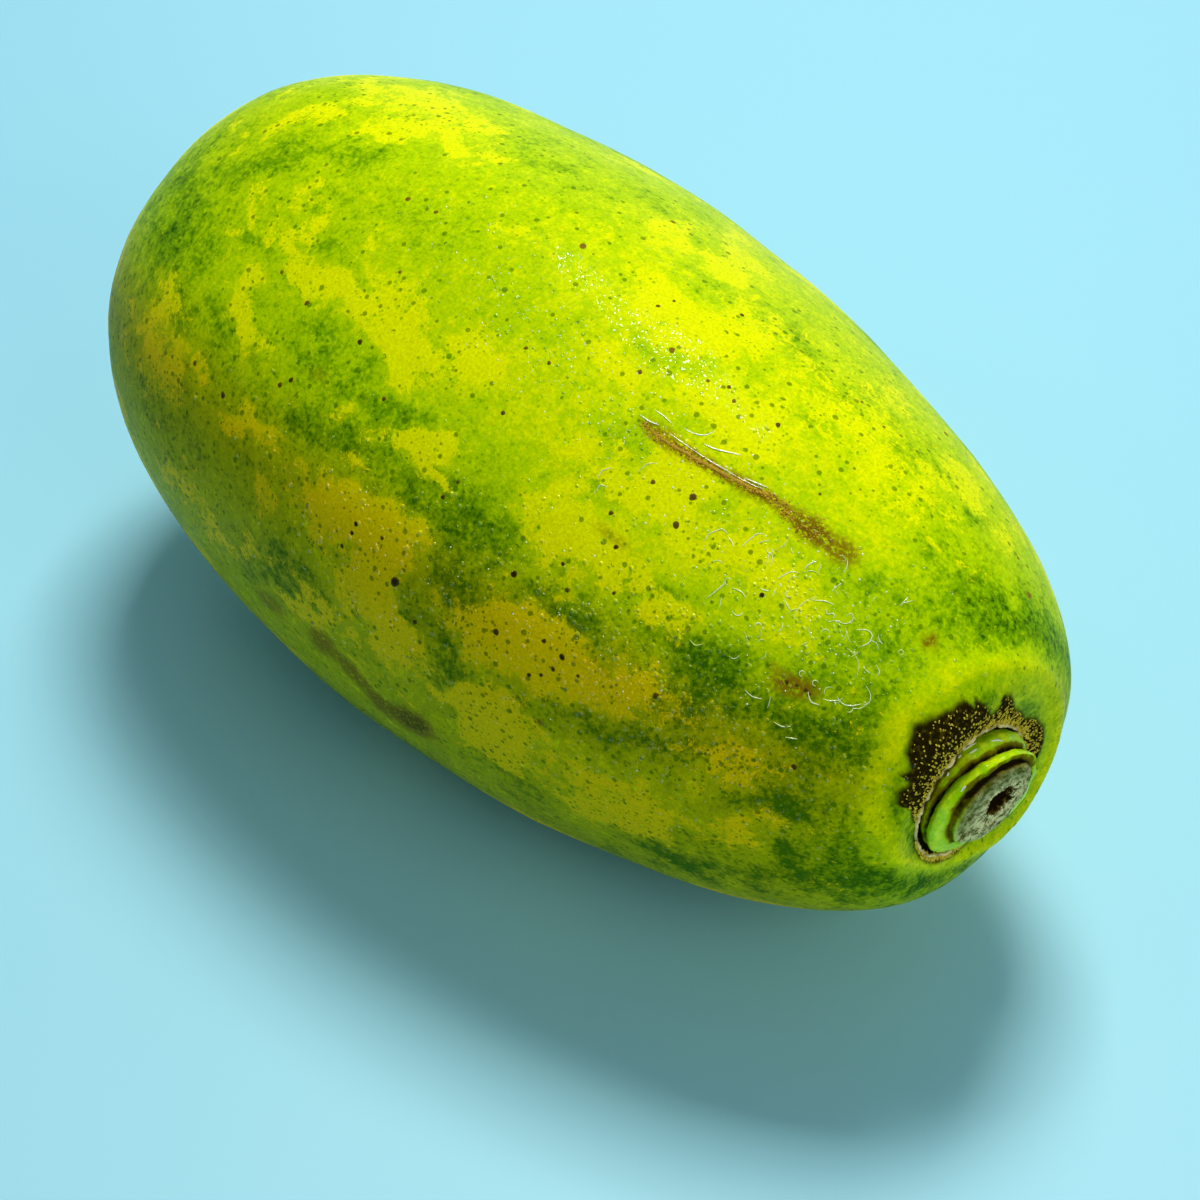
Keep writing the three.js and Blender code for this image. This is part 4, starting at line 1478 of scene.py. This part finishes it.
class PAPAYA_OT_water(bpy.types.Operator):
    """Builds the small beads of water on the skin"""

    bl_idname = "papaya.water"
    bl_label = "Build the water"

    def execute(self, context):
        settings = context.scene.papaya
        layout = Layout(settings)
        surface = Surface(layout)
        draw = np.random.default_rng(SEED + 1)
        cluster = Cluster()
        centres, normals, counts = [], [], []
        for *field, beads, low, high in BEAD_FIELDS:
            for _ in range(beads):
                pixel = spread(field, *draw.normal(0, 0.5, 2))
                point, normal, _, _ = surface.tree.ray_cast(Vector(layout.camera), layout.ray(*pixel))
                if point is None or normal.dot(Vector(layout.back)) < BEAD_FACING:
                    continue
                own = layout.own(point)
                from_stem = math.hypot(own[1] - layout.stem.side, own[2] - layout.stem.rise)
                if own[0] > DRY_HEIGHT and from_stem < DRY_RADIUS:
                    continue
                radius = low + (high - low) * draw.uniform(0, 1) ** 4
                height = radius * draw.uniform(0.2, 0.42) + SUNK_RIM
                body = dome(point, normal, radius, height, draw, *BEAD_DOME)
                cluster.add(body, 0.0)
                centres.append(own)
                normals.append(np.array(normal) @ layout.turn)
                counts.append(len(body[0]))
        wet_skin = ripe_skin(settings.skin, "water_bead_on_skin", 1.0)
        piece = cluster.build("water_beads", wet_skin)
        fields = SkinFields(layout).at(np.array(centres), np.array(normals))
        paint(piece, **{layer: np.repeat(values, counts) for layer, values in fields.items()})
        return {"FINISHED"}


# The stage

# Soft square lamps: name, place, the point that it faces and side, in metres, power in watts
# and colour.
LAMPS = (
    ("overhead", (-0.17, 0.25, 0.85), (0.0, 0.0, 0.03), 0.3, 6.4, "#fffdf6"),
    ("fill", (0.62, -0.12, 0.42), (0.05, 0.0, 0.04), 0.4, 1.4, "#fff8ea"),
    ("backdrop", (-0.42, 0.6, 0.22), (0.0, 0.0, 0.06), 0.6, 0.7, "#d4f0ff"),
)

# Light of the room, and in millimetres the floor's reach to each side and the width of the
# camera's sensor. The camera sees things from this near on, in metres.
ROOM_COLOUR = "#cfe6ff"
ROOM_STRENGTH = 0.23
FLOOR_REACH = 3000.0
SENSOR_WIDTH = 36.0
NEAREST = 0.01


def pale_board(floor_colour):
    """Matt pale board, plain so that it draws no eye from the fruit."""
    material, tree = material_tree("pale_blue_board")
    finish_tree(tree, {"Base Color": floor_colour, "Roughness": 0.5})
    return material


class PAPAYA_OT_stage(bpy.types.Operator):
    """Builds the pale floor, the soft light and the camera"""

    bl_idname = "papaya.stage"
    bl_label = "Build the stage"

    def execute(self, context):
        settings = context.scene.papaya
        layout = Layout(settings)
        look = settings.stage
        scene = context.scene
        reach = FLOOR_REACH
        corners = [(-reach, -reach, 0), (reach, -reach, 0), (reach, reach, 0), (-reach, reach, 0)]
        floor = new_object("floor", corners, [(0, 1, 2, 3)], pale_board(look.floor_colour), False)

        camera_data = bpy.data.cameras.new("camera")
        camera_data.sensor_width = SENSOR_WIDTH
        camera_data.lens = look.focal_pixels / PHOTO_PIXELS * SENSOR_WIDTH
        camera_data.clip_start = NEAREST
        camera = bpy.data.objects.new("camera", camera_data)
        scene.collection.objects.link(camera)
        axes = Matrix((layout.right, layout.up, layout.back)).transposed()
        camera.matrix_world = Matrix.Translation(Vector(layout.camera * MM)) @ axes.to_4x4()
        scene.camera = camera

        for lamp in LAMPS:
            self.light(scene, *lamp)
        scene.view_settings.view_transform = "Standard"
        world = bpy.data.worlds.new("soft_room")
        world.use_nodes = True
        background = world.node_tree.nodes["Background"]
        background.inputs["Color"].default_value = linear(ROOM_COLOUR)
        background.inputs["Strength"].default_value = ROOM_STRENGTH
        scene.world = world
        return {"FINISHED"}

    def light(self, scene, name, place, target, size, power, code):
        """A soft square lamp that faces a point."""
        data = bpy.data.lights.new(name, "AREA")
        data.shape, data.size, data.energy = "SQUARE", size, power
        data.color = linear(code)[:3]
        lamp = bpy.data.objects.new(name, data)
        lamp.location = place
        lamp.rotation_euler = (Vector(place) - Vector(target)).to_track_quat("Z", "Y").to_euler()
        scene.collection.objects.link(lamp)


# The add-on


class PapayaSettings(bpy.types.PropertyGroup):
    """All that a user would change."""

    shape: bpy.props.PointerProperty(type=FruitShape, name="Shape", description="The fruit's form")
    stem: bpy.props.PointerProperty(type=StemShape, name="Stem", description="The stem's stub")
    skin: bpy.props.PointerProperty(type=SkinLook, name="Skin", description="The skin's colours")
    stage: bpy.props.PointerProperty(type=StageLook, name="Stage", description="Camera and light")


BUILD_STEPS = (
    PAPAYA_OT_stage, PAPAYA_OT_skin, PAPAYA_OT_stem, PAPAYA_OT_scar, PAPAYA_OT_specks,
    PAPAYA_OT_scratch, PAPAYA_OT_threads, PAPAYA_OT_water)


class PAPAYA_PT_panel(bpy.types.Panel):
    """Lists the steps that build the papaya"""

    bl_idname = "PAPAYA_PT_panel"
    bl_label = "Papaya"
    bl_space_type = "VIEW_3D"
    bl_region_type = "UI"
    bl_category = "Papaya"

    def draw(self, context):
        for step in BUILD_STEPS:
            self.layout.operator(step.bl_idname)


CLASSES = (FruitShape, StemShape, SkinLook, StageLook, PapayaSettings, *BUILD_STEPS, PAPAYA_PT_panel)


def register():
    for cls in CLASSES:
        bpy.utils.register_class(cls)
    bpy.types.Scene.papaya = bpy.props.PointerProperty(type=PapayaSettings)


def unregister():
    del bpy.types.Scene.papaya
    for cls in reversed(CLASSES):
        bpy.utils.unregister_class(cls)


def main():
    register()
    for step in BUILD_STEPS:
        group, name = step.bl_idname.split(".")
        getattr(getattr(bpy.ops, group), name)()


if __name__ == "__main__":
    main()
